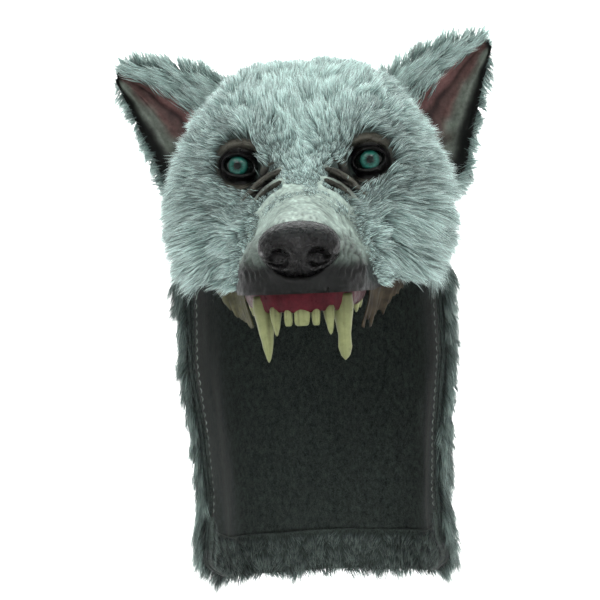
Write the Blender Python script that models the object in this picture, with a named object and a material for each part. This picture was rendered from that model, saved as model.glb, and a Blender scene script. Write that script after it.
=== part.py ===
"""Wolf head mask: a hollow latex head with a fur hood, ears, teeth and a lined neck drape.

Metres, +Z up, the muzzle points to -Y. The origin is the crown seat, the point inside the
hollow head that rests on the top of the wearer's head.
"""
import math
from collections import namedtuple

import bmesh
import bpy
import numpy as np
from mathutils import Vector

# Driving sizes of the latex head
SKULL_HALF_WIDTH = 0.096
SKULL_BACK = 0.104
FACE_DEPTH = 0.097
MUZZLE_LENGTH = 0.116
MUZZLE_HALF_WIDTH = 0.049
MUZZLE_HEIGHT = 0.068
CROWN_TO_COLLAR = 0.153
CROWN_TO_LIP = 0.172
COLLAR_DEPTH = 0.014
LIP_DEPTH = 0.003
LATEX_WALL = 0.003
PLAN_CENTRE_Y = 0.010
PLAN_ROUNDNESS = 2.6
STATION_SPACING = 0.0175
RAIL_STEPS = (3, 3, 3, 2)

# Clearances between pieces
FIT_GAP = 0.0003
CLOTH_GAP = 0.0005

# Eyes
EYE_SPACING = 0.098
EYE_DROP = 0.079
EYE_SET_BACK = 0.0085
EYE_REACH = FACE_DEPTH - EYE_SET_BACK
EYE_RADIUS = 0.0135
EYE_PATCH_HALF_WIDTH = 0.025
EYE_PATCH_HALF_HEIGHT = 0.027
EYE_PATCH_DEPTH = 0.040
EYE_PATCH_FORWARD = 0.008
EYE_SEGMENTS = 12

# Nose pad
NOSE_HALF_WIDTH = 0.028
NOSE_HALF_HEIGHT = 0.0205
NOSE_HALF_DEPTH = 0.019
NOSE_ABOVE_LIP = 0.026
NOSE_DROP = CROWN_TO_LIP - NOSE_ABOVE_LIP
NOSE_SET_BACK = 0.009
NOSTRIL_RADIUS = 0.0085
NOSE_TAPER = 0.10
NOSTRIL_SIDE_SHARE = 0.50
NOSTRIL_DROP_SHARE = 0.15
NOSTRIL_DEPTH_SHARE = 0.75
NOSE_GROOVE_WIDTH_SHARE = 0.12
NOSE_GROOVE_DEPTH_SHARE = 0.25
NOSE_SIDES = 20
NOSE_RINGS = 10

# Gum and teeth
GUM_THICKNESS = 0.0095
GUM_SIDE_GAP = 0.0010
GUM_FRONT_GAP = 0.0030
GUM_HALF_WIDTH = MUZZLE_HALF_WIDTH - LATEX_WALL - GUM_THICKNESS / 2 - GUM_SIDE_GAP
GUM_SET_BACK = LATEX_WALL + GUM_THICKNESS / 2 + GUM_FRONT_GAP
GUM_LENGTH = 0.078
GUM_HEIGHT = 0.020
GUM_TUCK = 0.003
GUM_ROUNDNESS = 0.80
GUM_SCALLOP = 0.12
GUM_TAPER = 0.60
GUM_STEPS = 24
CANINE_LENGTH = 0.035
FANG_LENGTH = 0.0155
INCISOR_LENGTH = 0.0085
PREMOLAR_LENGTH = 0.0055
TOOTH_ROOT = 0.005
PREMOLAR_ROOT = 0.008
CANINE_ROOT = 0.012

# Ears
EAR_BASE_WIDTH = 0.108
EAR_HEIGHT = 0.086
EAR_CUP = 0.024
EAR_WALL = 0.0025
EAR_SIDE = 0.087
EAR_DROP = 0.049
EAR_SET_BACK = 0.004
EAR_LEAN_RIGHT = 23.0
EAR_LEAN_LEFT = 13.0
EAR_TURN = 20.0
EAR_COLUMNS = 6

# Neck drape
DRAPE_FRONT_Y = -0.040
DRAPE_LENGTH = 0.262
HEM_RISE = 0.16
HEM_ROUNDNESS = 4
DRAPE_TOP_GAP = 0.0015
DRAPE_WALL = 0.003
DRAPE_WAVE = 0.004
DRAPE_WAVES = 4.5
DRAPE_BACK_COLUMNS = 5
DRAPE_FUR_ROWS = 7
LINING_WALL = 0.002
HEM_HEIGHT = 0.034
HEM_WALL = 0.004

# Fur pile
FUR_BACKING = 0.0022
HEAD_PILE = 0.016
DRAPE_PILE = 0.017
EAR_PILE = 0.009
LOCK_OVERHANG = 0.009
LOCK_LEAN = 0.55
SHORT_LOCK = 0.6
FRINGE_DROP = 0.015
FRONT_FRINGE = 1.7
FRINGE_SPREAD_LEAST = 0.6
FRINGE_PILE_SHARE = 0.9
FACE_PILE_SHARE = 0.25
FACE_PILE_START = 1.15
FACE_PILE_RISE = 0.75
EAR_FACE_LOCK = 0.35
EAR_EDGE_LOCK = 0.55
EAR_CLEARANCE = 0.002
DRAPE_SHORT_DROP = 0.2
DRAPE_TOP_FLARE = 0.5
DRAPE_EDGE_REACH = 0.35

CROWN_TOP = LATEX_WALL
COLLAR_Z = CROWN_TOP - CROWN_TO_COLLAR
LIP_Z = CROWN_TOP - CROWN_TO_LIP

# Half sections of the head. place runs from -1 at the back over 0 at the crown and 1 at the
# eyes to 2 at the front of the muzzle. Skull rows hold widths as shares of SKULL_HALF_WIDTH
# and drops below the crown as shares of CROWN_TO_COLLAR.
Section = namedtuple("Section", "place ridge brow_x brow_z temple_x temple_z cheek_x cheek_z rim_x rim_z")
SKULL_SECTIONS = (
    Section(-1.00, 1.00, 0.10, 1.00, 0.21, 1.00, 0.28, 1.00, 0.32, 1.00),
    Section(-0.97, 0.75, 0.17, 0.77, 0.29, 0.83, 0.36, 0.92, 1.00, 1.00),
    Section(-0.88, 0.46, 0.27, 0.49, 0.48, 0.60, 0.61, 0.81, 1.00, 1.00),
    Section(-0.70, 0.22, 0.36, 0.25, 0.64, 0.42, 0.82, 0.72, 1.00, 1.00),
    Section(-0.42, 0.07, 0.43, 0.10, 0.76, 0.29, 0.96, 0.68, 1.00, 1.00),
    Section(0.00, 0.00, 0.46, 0.03, 0.80, 0.23, 1.01, 0.67, 1.00, 1.00),
    Section(0.35, 0.01, 0.46, 0.04, 0.81, 0.24, 1.05, 0.71, 1.00, 1.00),
    Section(0.60, 0.09, 0.45, 0.11, 0.79, 0.29, 1.04, 0.74, 0.96, 1.00),
    Section(0.80, 0.21, 0.42, 0.21, 0.73, 0.37, 0.96, 0.77, 0.88, 1.03),
    Section(0.92, 0.34, 0.40, 0.30, 0.66, 0.44, 0.83, 0.78, 0.78, 1.05),
    Section(1.00, 0.46, 0.36, 0.40, 0.58, 0.54, 0.70, 0.81, 0.66, 1.08),
)
# Muzzle rows hold widths as shares of MUZZLE_HALF_WIDTH and heights above the lip as shares
# of MUZZLE_HEIGHT.
MUZZLE_SECTIONS = (
    Section(1.09, 1.31, 0.43, 1.28, 0.85, 1.01, 1.13, 0.57, 1.15, 0.04),
    Section(1.20, 1.17, 0.34, 1.12, 0.68, 0.89, 0.98, 0.45, 1.05, 0.02),
    Section(1.40, 1.02, 0.29, 0.97, 0.60, 0.75, 0.90, 0.34, 0.99, 0.00),
    Section(1.65, 0.88, 0.26, 0.84, 0.54, 0.64, 0.84, 0.27, 0.91, 0.00),
    Section(1.83, 0.75, 0.24, 0.72, 0.48, 0.54, 0.72, 0.23, 0.78, 0.00),
    Section(1.93, 0.60, 0.20, 0.57, 0.40, 0.43, 0.57, 0.17, 0.62, 0.00),
    Section(1.98, 0.34, 0.16, 0.31, 0.30, 0.23, 0.43, 0.11, 0.47, 0.00),
    Section(2.00, 0.00, 0.13, 0.00, 0.25, 0.00, 0.35, 0.00, 0.39, 0.00),
)
HOOD_FRONT_PLACE = 1.09

# Swellings and hollows of the face. side, drop and radius are shares of SKULL_HALF_WIDTH,
# CROWN_TO_COLLAR and SKULL_HALF_WIDTH; raise is a share of FORM_RELIEF, negative inward.
FORM_RELIEF = 0.006
Form = namedtuple("Form", "name side place drop radius raise_share")
FACE_FORMS = (
    Form("brow", 0.46, 0.93, 0.36, 0.20, 0.9),
    Form("eye socket", 0.51, 1.01, 0.53, 0.17, -1.1),
    Form("stop between the brows", 0.00, 0.97, 0.44, 0.13, -0.5),
    Form("cheekbone", 0.70, 0.93, 0.72, 0.20, 0.5),
    Form("whisker pad", 0.36, 1.72, 1.01, 0.18, 0.7),
    Form("muzzle hollow", 0.40, 1.30, 0.86, 0.16, -0.5),
)

# Ear outline. height is a share of EAR_HEIGHT; upper and lower are shares of half
# EAR_BASE_WIDTH along the base; cup is a share of EAR_CUP.
EarRow = namedtuple("EarRow", "height upper lower cup")
EAR_ROWS = (
    EarRow(-0.34, -0.70, 0.80, 1.05),
    EarRow(0.00, -0.84, 1.02, 1.00),
    EarRow(0.20, -0.88, 0.92, 0.95),
    EarRow(0.42, -0.90, 0.52, 0.80),
    EarRow(0.65, -0.88, 0.06, 0.58),
    EarRow(0.85, -0.84, -0.34, 0.34),
    EarRow(0.96, -0.78, -0.54, 0.16),
    EarRow(1.00, -0.71, -0.63, 0.05),
)

# Neck drape. drop is a share of DRAPE_LENGTH, width and back are scales of the plan, and
# wave is a share of DRAPE_WAVE.
DrapeRow = namedtuple("DrapeRow", "drop width back wave")
DRAPE_ROWS = (
    DrapeRow(0.00, 1.00, 1.00, 0.0),
    DrapeRow(0.06, 1.01, 1.00, 0.0),
    DrapeRow(0.30, 1.02, 0.99, 0.4),
    DrapeRow(0.55, 0.95, 0.97, 0.8),
    DrapeRow(0.78, 0.92, 0.97, 1.0),
    DrapeRow(1.00, 0.95, 0.99, 1.0),
)

# Teeth. place is the station along the gum: 0 at the middle of the front, 1 at the back end.
Tooth = namedtuple("Tooth", "name side place length root width depth bend sections")
TOOTH_CONE = ((0.00, 0.92), (0.22, 1.00), (0.50, 0.76), (0.75, 0.50), (0.92, 0.27), (1.00, 0.10))
TOOTH_WAVY = (
    (0.00, 0.92), (0.20, 1.00), (0.42, 0.80), (0.62, 0.58), (0.80, 0.66), (0.93, 0.42), (1.00, 0.12),
)
TOOTH_BLOCK = ((0.00, 0.86), (0.35, 1.00), (0.75, 0.94), (1.00, 0.62))
TEETH = (
    Tooth("canine_left", -1, 0.44, CANINE_LENGTH, CANINE_ROOT, 0.0072, 0.0076, 0.10, TOOTH_CONE),
    Tooth("canine_right", 1, 0.44, CANINE_LENGTH, CANINE_ROOT, 0.0078, 0.0076, 0.02, TOOTH_WAVY),
    Tooth("fang_left", -1, 0.25, FANG_LENGTH, TOOTH_ROOT, 0.0042, 0.0044, 0.05, TOOTH_CONE),
    Tooth("fang_right", 1, 0.25, FANG_LENGTH, TOOTH_ROOT, 0.0042, 0.0044, 0.12, TOOTH_CONE),
    Tooth("incisor_left", -1, 0.108, INCISOR_LENGTH, TOOTH_ROOT, 0.0031, 0.0034, 0.0, TOOTH_BLOCK),
    Tooth("incisor_middle", 1, 0.0, INCISOR_LENGTH, TOOTH_ROOT, 0.0058, 0.0036, 0.0, TOOTH_BLOCK),
    Tooth("incisor_right", 1, 0.108, INCISOR_LENGTH, TOOTH_ROOT, 0.0031, 0.0034, 0.0, TOOTH_BLOCK),
    Tooth("premolar_left_front", -1, 0.70, PREMOLAR_LENGTH, PREMOLAR_ROOT, 0.0034, 0.0036, 0.0, TOOTH_CONE),
    Tooth("premolar_left_back", -1, 0.83, PREMOLAR_LENGTH, PREMOLAR_ROOT, 0.0032, 0.0034, 0.0, TOOTH_CONE),
    Tooth("premolar_right_front", 1, 0.70, PREMOLAR_LENGTH, PREMOLAR_ROOT, 0.0034, 0.0036, 0.0, TOOTH_CONE),
    Tooth("premolar_right_back", 1, 0.83, PREMOLAR_LENGTH, PREMOLAR_ROOT, 0.0032, 0.0034, 0.0, TOOTH_CONE),
)
TOOTH_SIDES = 7


def clear_scene():
    """Remove every object of the open scene."""
    for item in list(bpy.data.objects):
        bpy.data.objects.remove(item, do_unlink=True)


def material(name, colour, roughness, metallic=0.0):
    """Return a Principled material with a linear base colour."""
    surface = bpy.data.materials.new(name)
    surface.use_nodes = True
    shader = surface.node_tree.nodes["Principled BSDF"]
    shader.inputs["Base Color"].default_value = (*colour, 1.0)
    shader.inputs["Roughness"].default_value = roughness
    shader.inputs["Metallic"].default_value = metallic
    surface.diffuse_color = (*colour, 1.0)
    return surface


def add_object(name, points, faces, surface=None):
    """Make one mesh object from points and faces, with doubled points merged."""
    mesh = bpy.data.meshes.new(name)
    body = bmesh.new()
    corners = [body.verts.new(point) for point in points]
    for face in faces:
        body.faces.new([corners[index] for index in face])
    bmesh.ops.remove_doubles(body, verts=body.verts, dist=1e-6)
    bmesh.ops.recalc_face_normals(body, faces=body.faces)
    if body.calc_volume(signed=True) < 0:
        bmesh.ops.reverse_faces(body, faces=body.faces)
    bmesh.ops.triangulate(body, faces=body.faces)
    body.to_mesh(mesh)
    body.free()
    mesh.shade_smooth()
    mesh.set_sharp_from_angle(angle=math.radians(50))
    item = bpy.data.objects.new(name, mesh)
    bpy.context.scene.collection.objects.link(item)
    if surface:
        mesh.materials.append(surface)
    return item


def cut(item, cutter):
    """Take the cutter's volume out of an object, and hide the cutter."""
    cutter.hide_render = True
    cutter.display_type = "WIRE"
    step = item.modifiers.new("cut_" + cutter.name, "BOOLEAN")
    step.operation = "DIFFERENCE"
    step.solver = "EXACT"
    step.object = cutter


def smooth_curve(points, spacing=None, counts=None):
    """Run a smooth curve through rows of points, along the first axis.

    Each row may be one point or a whole line of points. The number of steps between two
    rows comes from counts, or from the distance between them and the spacing.
    """
    rows = np.asarray(points, dtype=float)
    gaps = np.linalg.norm(np.diff(rows, axis=0), axis=-1)
    lengths = gaps.reshape(len(gaps), -1).mean(axis=1)
    slopes = np.empty_like(rows)
    shape = (-1,) + (1,) * (rows.ndim - 1)
    rates = np.diff(rows, axis=0) / lengths.reshape(shape)
    slopes[0] = rates[0]
    slopes[-1] = rates[-1]
    before = lengths[:-1].reshape(shape)
    after = lengths[1:].reshape(shape)
    slopes[1:-1] = (rates[:-1] * after + rates[1:] * before) / (before + after)
    out = [rows[0]]
    for index, length in enumerate(lengths):
        steps = counts[index] if counts else max(1, round(length / spacing))
        for step in range(1, steps + 1):
            t = step / steps
            start = (1 + 2 * t) * (1 - t) ** 2 * rows[index] + t * (1 - t) ** 2 * length * slopes[index]
            end = t * t * (3 - 2 * t) * rows[index + 1] + t * t * (t - 1) * length * slopes[index + 1]
            out.append(start + end)
    return np.array(out)


def grid_normals(grid):
    """Return the unit normals of a grid of points, pointing away from the head.

    The grid's corners lie flat in its rim, so they take the normals of their neighbours.
    """
    along = np.gradient(grid, axis=0)
    across = np.gradient(grid, axis=1)
    normals = np.cross(along, across)
    size = np.linalg.norm(normals, axis=2, keepdims=True)
    normals /= np.maximum(size, 1e-12)
    for row, next_row in ((0, 1), (-1, -2)):
        for edge, next_edge in ((0, 1), (-1, -2)):
            normals[row, edge] = normals[next_row, edge] + normals[row, next_edge]
    size = np.linalg.norm(normals, axis=2, keepdims=True)
    return normals / np.maximum(size, 1e-12)


def grid_faces(rows, columns, start, flip=False):
    """Return the quads of a grid of rows and columns whose points begin at start."""
    faces = []
    for row in range(rows - 1):
        for column in range(columns - 1):
            a = start + row * columns + column
            quad = (a, a + 1, a + columns + 1, a + columns)
            faces.append(quad[::-1] if flip else quad)
    return faces


def rim_indices(rows, columns):
    """Return the indices round the edge of a grid, in order."""
    top = [column for column in range(columns)]
    right = [row * columns + columns - 1 for row in range(1, rows)]
    bottom = [(rows - 1) * columns + column for column in range(columns - 2, -1, -1)]
    left = [row * columns for row in range(rows - 2, 0, -1)]
    return top + right + bottom + left


def layered_solid(name, outer, inner, surface=None):
    """Close two grids of the same size into one solid wall."""
    rows, columns = outer.shape[:2]
    count = rows * columns
    points = np.concatenate([outer.reshape(-1, 3), inner.reshape(-1, 3)])
    faces = grid_faces(rows, columns, 0) + grid_faces(rows, columns, count, flip=True)
    rim = rim_indices(rows, columns)
    for index, first in enumerate(rim):
        second = rim[(index + 1) % len(rim)]
        faces.append((second, first, first + count, second + count))
    return add_object(name, points.tolist(), faces, surface)


def place_to_y(place):
    """Turn a place along the head into its Y: back at -1, crown 0, eyes 1, muzzle front 2."""
    if place < 0:
        return -place * SKULL_BACK
    if place < 1:
        return -place * FACE_DEPTH
    return -FACE_DEPTH - (place - 1) * MUZZLE_LENGTH


def plan_half_width(y):
    """Return the collar's half width at a Y: straight sides and a rounded back."""
    if y <= PLAN_CENTRE_Y:
        return SKULL_HALF_WIDTH
    share = (y - PLAN_CENTRE_Y) / (SKULL_BACK - PLAN_CENTRE_Y)
    return SKULL_HALF_WIDTH * max(0.0, 1 - share ** PLAN_ROUNDNESS) ** (1 / PLAN_ROUNDNESS)


def plan_back_y(x):
    """Return the Y of the collar's rounded back at an X."""
    share = min(1.0, abs(x) / SKULL_HALF_WIDTH)
    reach = (1 - share ** PLAN_ROUNDNESS) ** (1 / PLAN_ROUNDNESS)
    return PLAN_CENTRE_Y + (SKULL_BACK - PLAN_CENTRE_Y) * reach


def mirrored(half):
    """Complete a half section, ridge to rim on the right, into rim to rim."""
    left = [(-x, y, z) for x, y, z in reversed(half[1:])]
    return left + list(half)


def skull_section(row):
    """Return a skull section's control points from its shares."""
    y = place_to_y(row.place)
    rim_x = row.rim_x * (plan_half_width(y) if row.place > -1 else SKULL_HALF_WIDTH)
    pairs = (
        (0.0, row.ridge),
        (row.brow_x * SKULL_HALF_WIDTH, row.brow_z),
        (row.temple_x * SKULL_HALF_WIDTH, row.temple_z),
        (row.cheek_x * SKULL_HALF_WIDTH, row.cheek_z),
        (rim_x, row.rim_z),
    )
    half = []
    for x, drop in pairs:
        depth = plan_back_y(x) if row.place == -1 else y
        half.append((x, depth, CROWN_TOP - drop * CROWN_TO_COLLAR))
    return mirrored(half)


def muzzle_section(row):
    """Return a muzzle section's control points from its shares."""
    y = place_to_y(row.place)
    pairs = (
        (0.0, row.ridge),
        (row.brow_x, row.brow_z),
        (row.temple_x, row.temple_z),
        (row.cheek_x, row.cheek_z),
        (row.rim_x, row.rim_z),
    )
    half = [(x * MUZZLE_HALF_WIDTH, y, LIP_Z + z * MUZZLE_HEIGHT) for x, z in pairs]
    return mirrored(half)


def add_forms(grid):
    """Raise and hollow the face's forms along the grid's normals."""
    normals = grid_normals(grid)
    shaped = grid.copy()
    for form in FACE_FORMS:
        for side in ((-1, 1) if form.side else (1,)):
            centre = np.array((
                side * form.side * SKULL_HALF_WIDTH,
                place_to_y(form.place),
                CROWN_TOP - form.drop * CROWN_TO_COLLAR,
            ))
            reach = np.linalg.norm(grid - centre, axis=2) / (form.radius * SKULL_HALF_WIDTH)
            lift = form.raise_share * FORM_RELIEF * np.exp(-reach ** 2)
            shaped += lift[..., None] * normals
    return shaped


def head_grid():
    """Return the outer surface of the latex head, back to front by left rim to right rim."""
    rows = [skull_section(row) for row in SKULL_SECTIONS]
    rows += [muzzle_section(row) for row in MUZZLE_SECTIONS]
    stations = smooth_curve(rows, spacing=STATION_SPACING)
    counts = RAIL_STEPS[::-1] + RAIL_STEPS
    lines = [smooth_curve(line, counts=counts) for line in stations]
    return add_forms(np.array(lines))


def with_skirt(grid, bottoms):
    """Carry a grid's edge straight down to the bottoms given for its own rows."""
    rows = []
    for line, bottom in zip(grid, bottoms):
        low = line[[0, -1]].copy()
        low[:, 2] = bottom
        rows.append(np.vstack([low[:1], line, low[1:]]))
    first = rows[0].copy()
    first[:, 2] = bottoms[0]
    last = rows[-1].copy()
    last[:, 2] = bottoms[-1]
    return np.array([first] + rows + [last])


def skirt_bottoms(grid):
    """Return how low the latex reaches at each station: a collar behind, a thin lip in front."""
    bottoms = []
    for line in grid:
        share = np.clip((line[0, 1] + FACE_DEPTH) / (FACE_DEPTH + DRAPE_FRONT_Y), 0.0, 1.0)
        depth = LIP_DEPTH + share * (COLLAR_DEPTH - LIP_DEPTH)
        bottoms.append(line[0, 2] - depth)
    return bottoms


def build_face_shell(head, normals, surface):
    """Build the latex head: outer and inner skin with the collar and the lip's edge."""
    bottoms = skirt_bottoms(head)
    outer = with_skirt(head, bottoms)
    inner = with_skirt(head - LATEX_WALL * normals, bottoms)
    return layered_solid("face_shell", outer, inner, surface)


def eye_centre(side):
    """Return an eyeball's centre."""
    return Vector((side * EYE_SPACING / 2, -EYE_REACH, CROWN_TOP - EYE_DROP))


def ball(name, centre, radii, segments, rings, surface=None):
    """Return a scaled ball with its scale in the mesh."""
    mesh = bpy.data.meshes.new(name)
    body = bmesh.new()
    bmesh.ops.create_uvsphere(body, u_segments=segments, v_segments=rings, radius=1.0)
    for corner in body.verts:
        corner.co = Vector((corner.co.x * radii[0], corner.co.y * radii[1], corner.co.z * radii[2]))
    body.to_mesh(mesh)
    body.free()
    mesh.shade_smooth()
    item = bpy.data.objects.new(name, mesh)
    item.location = centre
    bpy.context.scene.collection.objects.link(item)
    if surface:
        mesh.materials.append(surface)
    return item


def build_eyes(shell, surface):
    """Build both eyes and cut their seats in the latex."""
    for name, side in (("left", -1), ("right", 1)):
        ball("eye_" + name, eye_centre(side), (EYE_RADIUS,) * 3, EYE_SEGMENTS, EYE_SEGMENTS // 2, surface)
        seat = EYE_RADIUS + FIT_GAP
        cut(shell, ball("eye_seat_" + name, eye_centre(side), (seat,) * 3, EYE_SEGMENTS, EYE_SEGMENTS // 2))


def hood_height(point):
    """Return the pile's height at a point: short round the face, full on cheeks and crown."""
    share = np.clip((point[1] / FACE_DEPTH + FACE_PILE_START) / FACE_PILE_RISE, 0.0, 1.0)
    return HEAD_PILE * (FACE_PILE_SHARE + (1 - FACE_PILE_SHARE) * share)


def lock_share(row, column):
    """Return a lock's size share: long and short locks take turns, row by row."""
    return 1.0 if (row // 2 + column) % 2 == 0 else SHORT_LOCK


def build_head_fur(head, normals, surface):
    """Build the hood: a backing over the latex, with rows of locks that lean backward."""
    front_y = place_to_y(HOOD_FRONT_PLACE)
    last = max(index for index, line in enumerate(head) if line[0, 1] >= front_y - FIT_GAP)
    columns = head.shape[1]
    inner = head[: last + 1] + CLOTH_GAP * normals[: last + 1]
    outer = inner + FUR_BACKING * normals[: last + 1]
    for station in range(1, last + 1):
        row = last - station
        if row % 2 == 0:
            continue
        for column in range(columns):
            size = lock_share(row, column)
            lift = (hood_height(inner[station, column]) * size - FUR_BACKING) * normals[station, column]
            lean = (inner[station - 1, column] - inner[station, column]) * LOCK_LEAN * size
            side = abs(2 * column / (columns - 1) - 1)
            sag = np.array((0.0, 0.0, -LOCK_OVERHANG * size * 4 * side ** 2 * (1 - side)))
            outer[station, column] += lift + lean + sag
    return fringed_hood(inner, outer, normals, surface)


def fringe_point(point, normal, row, column):
    """Return the ledge and the tip of the fringe that hangs from one point of the hood's edge."""
    out = normal * np.array((1.0, 1.0, 0.0))
    out /= max(np.linalg.norm(out), 1e-9)
    size = lock_share(2 * row, column)
    drop = FRINGE_DROP * (FRONT_FRINGE if point[1] < DRAPE_FRONT_Y else 1.0) * size
    pile = min(hood_height(point), HEAD_PILE * FRINGE_PILE_SHARE)
    spread = pile * (FRINGE_SPREAD_LEAST + (1 - FRINGE_SPREAD_LEAST) * size) + CLOTH_GAP
    ledge = point + out * (DRAPE_WALL + 2 * CLOTH_GAP)
    tip = point + out * max(spread, DRAPE_WALL + 4 * CLOTH_GAP)
    tip[2] -= drop
    return ledge, tip


def fringed_hood(inner, outer, normals, surface):
    """Close the hood, with a fringe of locks along its lower edge at the sides and the back."""
    rows, columns = inner.shape[:2]
    thick = DRAPE_WALL + 3 * CLOTH_GAP + FUR_BACKING
    for edge in (0, -1):
        outer[:, edge] = inner[:, edge] + thick * normals[:rows, edge]
    outer[0] = inner[0] + thick * normals[0]
    wide_inner = np.zeros((rows + 1, columns + 2, 3))
    wide_outer = np.zeros((rows + 1, columns + 2, 3))
    wide_inner[1:, 1:-1] = inner
    wide_outer[1:, 1:-1] = outer
    for row in range(rows):
        for target, edge in ((0, 0), (columns + 1, columns - 1)):
            pair = fringe_point(inner[row, edge], normals[row, edge], row, 0)
            wide_inner[row + 1, target], wide_outer[row + 1, target] = pair
    for column in range(columns):
        pair = fringe_point(inner[0, column], normals[0, column], 0, column)
        wide_inner[0, column + 1], wide_outer[0, column + 1] = pair
    for corner, edge in ((0, 0), (columns + 1, columns - 1)):
        pair = fringe_point(inner[0, edge], normals[0, edge], 0, 0)
        wide_inner[0, corner], wide_outer[0, corner] = pair
        wide_inner[0, 1 if corner == 0 else columns] = pair[0]
        wide_outer[0, 1 if corner == 0 else columns] = pair[1]
    return layered_solid("head_fur", wide_outer, wide_inner, surface)


def cut_eye_patches(hood):
    """Open the hood round both eyes, where the latex is bare."""
    for name, side in (("left", -1), ("right", 1)):
        centre = eye_centre(side) + Vector((0.0, -EYE_PATCH_FORWARD, 0.0))
        radii = (EYE_PATCH_HALF_WIDTH, EYE_PATCH_DEPTH, EYE_PATCH_HALF_HEIGHT)
        cut(hood, ball("eye_patch_" + name, centre, radii, EYE_SEGMENTS, EYE_SEGMENTS // 2))


def solid_head(name, head, normals, growth):
    """Return the head as a filled solid, grown outward, to trim what stands on it."""
    bottoms = [LIP_Z - LIP_DEPTH - COLLAR_DEPTH] * len(head)
    grid = with_skirt(head + growth * normals, bottoms)
    rows, columns = grid.shape[:2]
    points = grid.reshape(-1, 3).tolist() + [(0.0, PLAN_CENTRE_Y, bottoms[0])]
    faces = grid_faces(rows, columns, 0)
    rim = rim_indices(rows, columns)
    for index, first in enumerate(rim):
        second = rim[(index + 1) % len(rim)]
        faces.append((second, first, rows * columns))
    return add_object(name, points, faces)


def nose_point(angle, ring):
    """Return a point of the nose pad from its angle round the front and its ring share."""
    across = math.cos(angle)
    up = math.sin(angle)
    wide = 1.0 + NOSE_TAPER * (up - max(0.0, -up) ** 2)
    spread = math.sin(ring * math.pi)
    x = NOSE_HALF_WIDTH * across * spread * wide
    z = NOSE_HALF_HEIGHT * up * spread
    y = -NOSE_HALF_DEPTH * math.cos(ring * math.pi)
    dent = 0.0
    for side in (-1, 1):
        aside = x - side * NOSE_HALF_WIDTH * NOSTRIL_SIDE_SHARE
        reach = math.hypot(aside, z + NOSE_HALF_HEIGHT * NOSTRIL_DROP_SHARE)
        dent += math.exp(-(reach / NOSTRIL_RADIUS) ** 2)
    groove = math.exp(-(x / (NOSE_HALF_WIDTH * NOSE_GROOVE_WIDTH_SHARE)) ** 2) if up < 0 else 0.0
    if ring < 0.5:
        depth = NOSTRIL_DEPTH_SHARE * dent + NOSE_GROOVE_DEPTH_SHARE * groove
        y += NOSTRIL_RADIUS * depth * spread
    return (x, y, z)


def build_nose(head_cutter, surface):
    """Build the nose pad and trim its back to the muzzle."""
    sides = NOSE_SIDES
    rings = NOSE_RINGS
    centre = np.array((0.0, place_to_y(2) + NOSE_SET_BACK, CROWN_TOP - NOSE_DROP))
    points = [tuple(centre + np.array(nose_point(0.0, 0.0)))]
    for ring in range(1, rings):
        for side in range(sides):
            points.append(tuple(centre + np.array(nose_point(2 * math.pi * side / sides, ring / rings))))
    points.append(tuple(centre + np.array(nose_point(0.0, 1.0))))
    faces = []
    for side in range(sides):
        after = (side + 1) % sides
        faces.append((0, 1 + side, 1 + after))
        end = len(points) - 1
        base = 1 + (rings - 2) * sides
        faces.append((end, base + after, base + side))
        for ring in range(rings - 2):
            a = 1 + ring * sides + side
            b = 1 + ring * sides + after
            faces.append((a, a + sides, b + sides, b))
    nose = add_object("nose", points, faces, surface)
    cut(nose, head_cutter)
    return nose


def gum_path(place):
    """Return a point and outward direction on the gum's horseshoe, place -1 to 1."""
    front_y = place_to_y(2) + GUM_SET_BACK
    angle = place * math.pi / 2
    bow = abs(math.sin(angle)) ** GUM_ROUNDNESS
    x = math.copysign(GUM_HALF_WIDTH * bow, place)
    y = front_y + GUM_LENGTH * (1 - abs(math.cos(angle)) ** GUM_ROUNDNESS)
    out = np.array((math.sin(angle) / GUM_HALF_WIDTH, -abs(math.cos(angle)) / GUM_LENGTH, 0.0))
    return np.array((x, y, 0.0)), out / np.linalg.norm(out)


def gum_taper(place):
    """Return how much of its height the gum keeps at a place: less toward its back ends."""
    return 1.0 - GUM_TAPER * abs(place) ** 3


def build_gum(surface):
    """Build the gum, a horseshoe band with a scalloped lower edge."""
    profile = ((1.0, 0.0), (1.0, 0.72), (0.55, 1.0), (-0.35, 1.0), (-1.0, 0.72), (-1.0, 0.0))
    top = LIP_Z + GUM_TUCK
    points = []
    for step in range(GUM_STEPS + 1):
        place = -1 + 2 * step / GUM_STEPS
        centre, out = gum_path(place)
        scallop = 1.0 - GUM_SCALLOP * (step % 2)
        taper = gum_taper(place)
        for across, down in profile:
            spot = centre + out * (across * GUM_THICKNESS / 2)
            spot[2] = top - down * GUM_HEIGHT * scallop * taper
            points.append(tuple(spot))
    count = len(profile)
    last = GUM_STEPS * count
    faces = [tuple(range(count)), tuple(last + index for index in reversed(range(count)))]
    for step in range(GUM_STEPS):
        for index in range(count):
            a = step * count + index
            b = step * count + (index + 1) % count
            faces.append((a, a + count, b + count, b))
    return add_object("upper_gum", points, faces, surface)


def tooth_points(tooth, growth):
    """Return a tooth's rings from its root down to its tip, grown outward by growth."""
    spot, out = gum_path(tooth.side * tooth.place)
    along = np.array((-out[1], out[0], 0.0))
    base_z = LIP_Z + GUM_TUCK - GUM_HEIGHT * gum_taper(tooth.place) + tooth.root
    length = tooth.length + tooth.root
    points = []
    for share, size in tooth.sections:
        z = base_z - share * length + (growth if share == 0 else 0.0)
        sway = tooth.side * tooth.bend * tooth.length * math.sin(share * math.pi / 2) ** 2
        for index in range(TOOTH_SIDES):
            angle = 2 * math.pi * (index + 0.5) / TOOTH_SIDES
            wide = (tooth.width * size + growth) * math.cos(angle)
            deep = (tooth.depth * size + growth) * math.sin(angle)
            point = spot + along * wide + out * deep + out * sway * abs(out[0])
            point[2] = z
            points.append(tuple(point))
    return points


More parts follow.
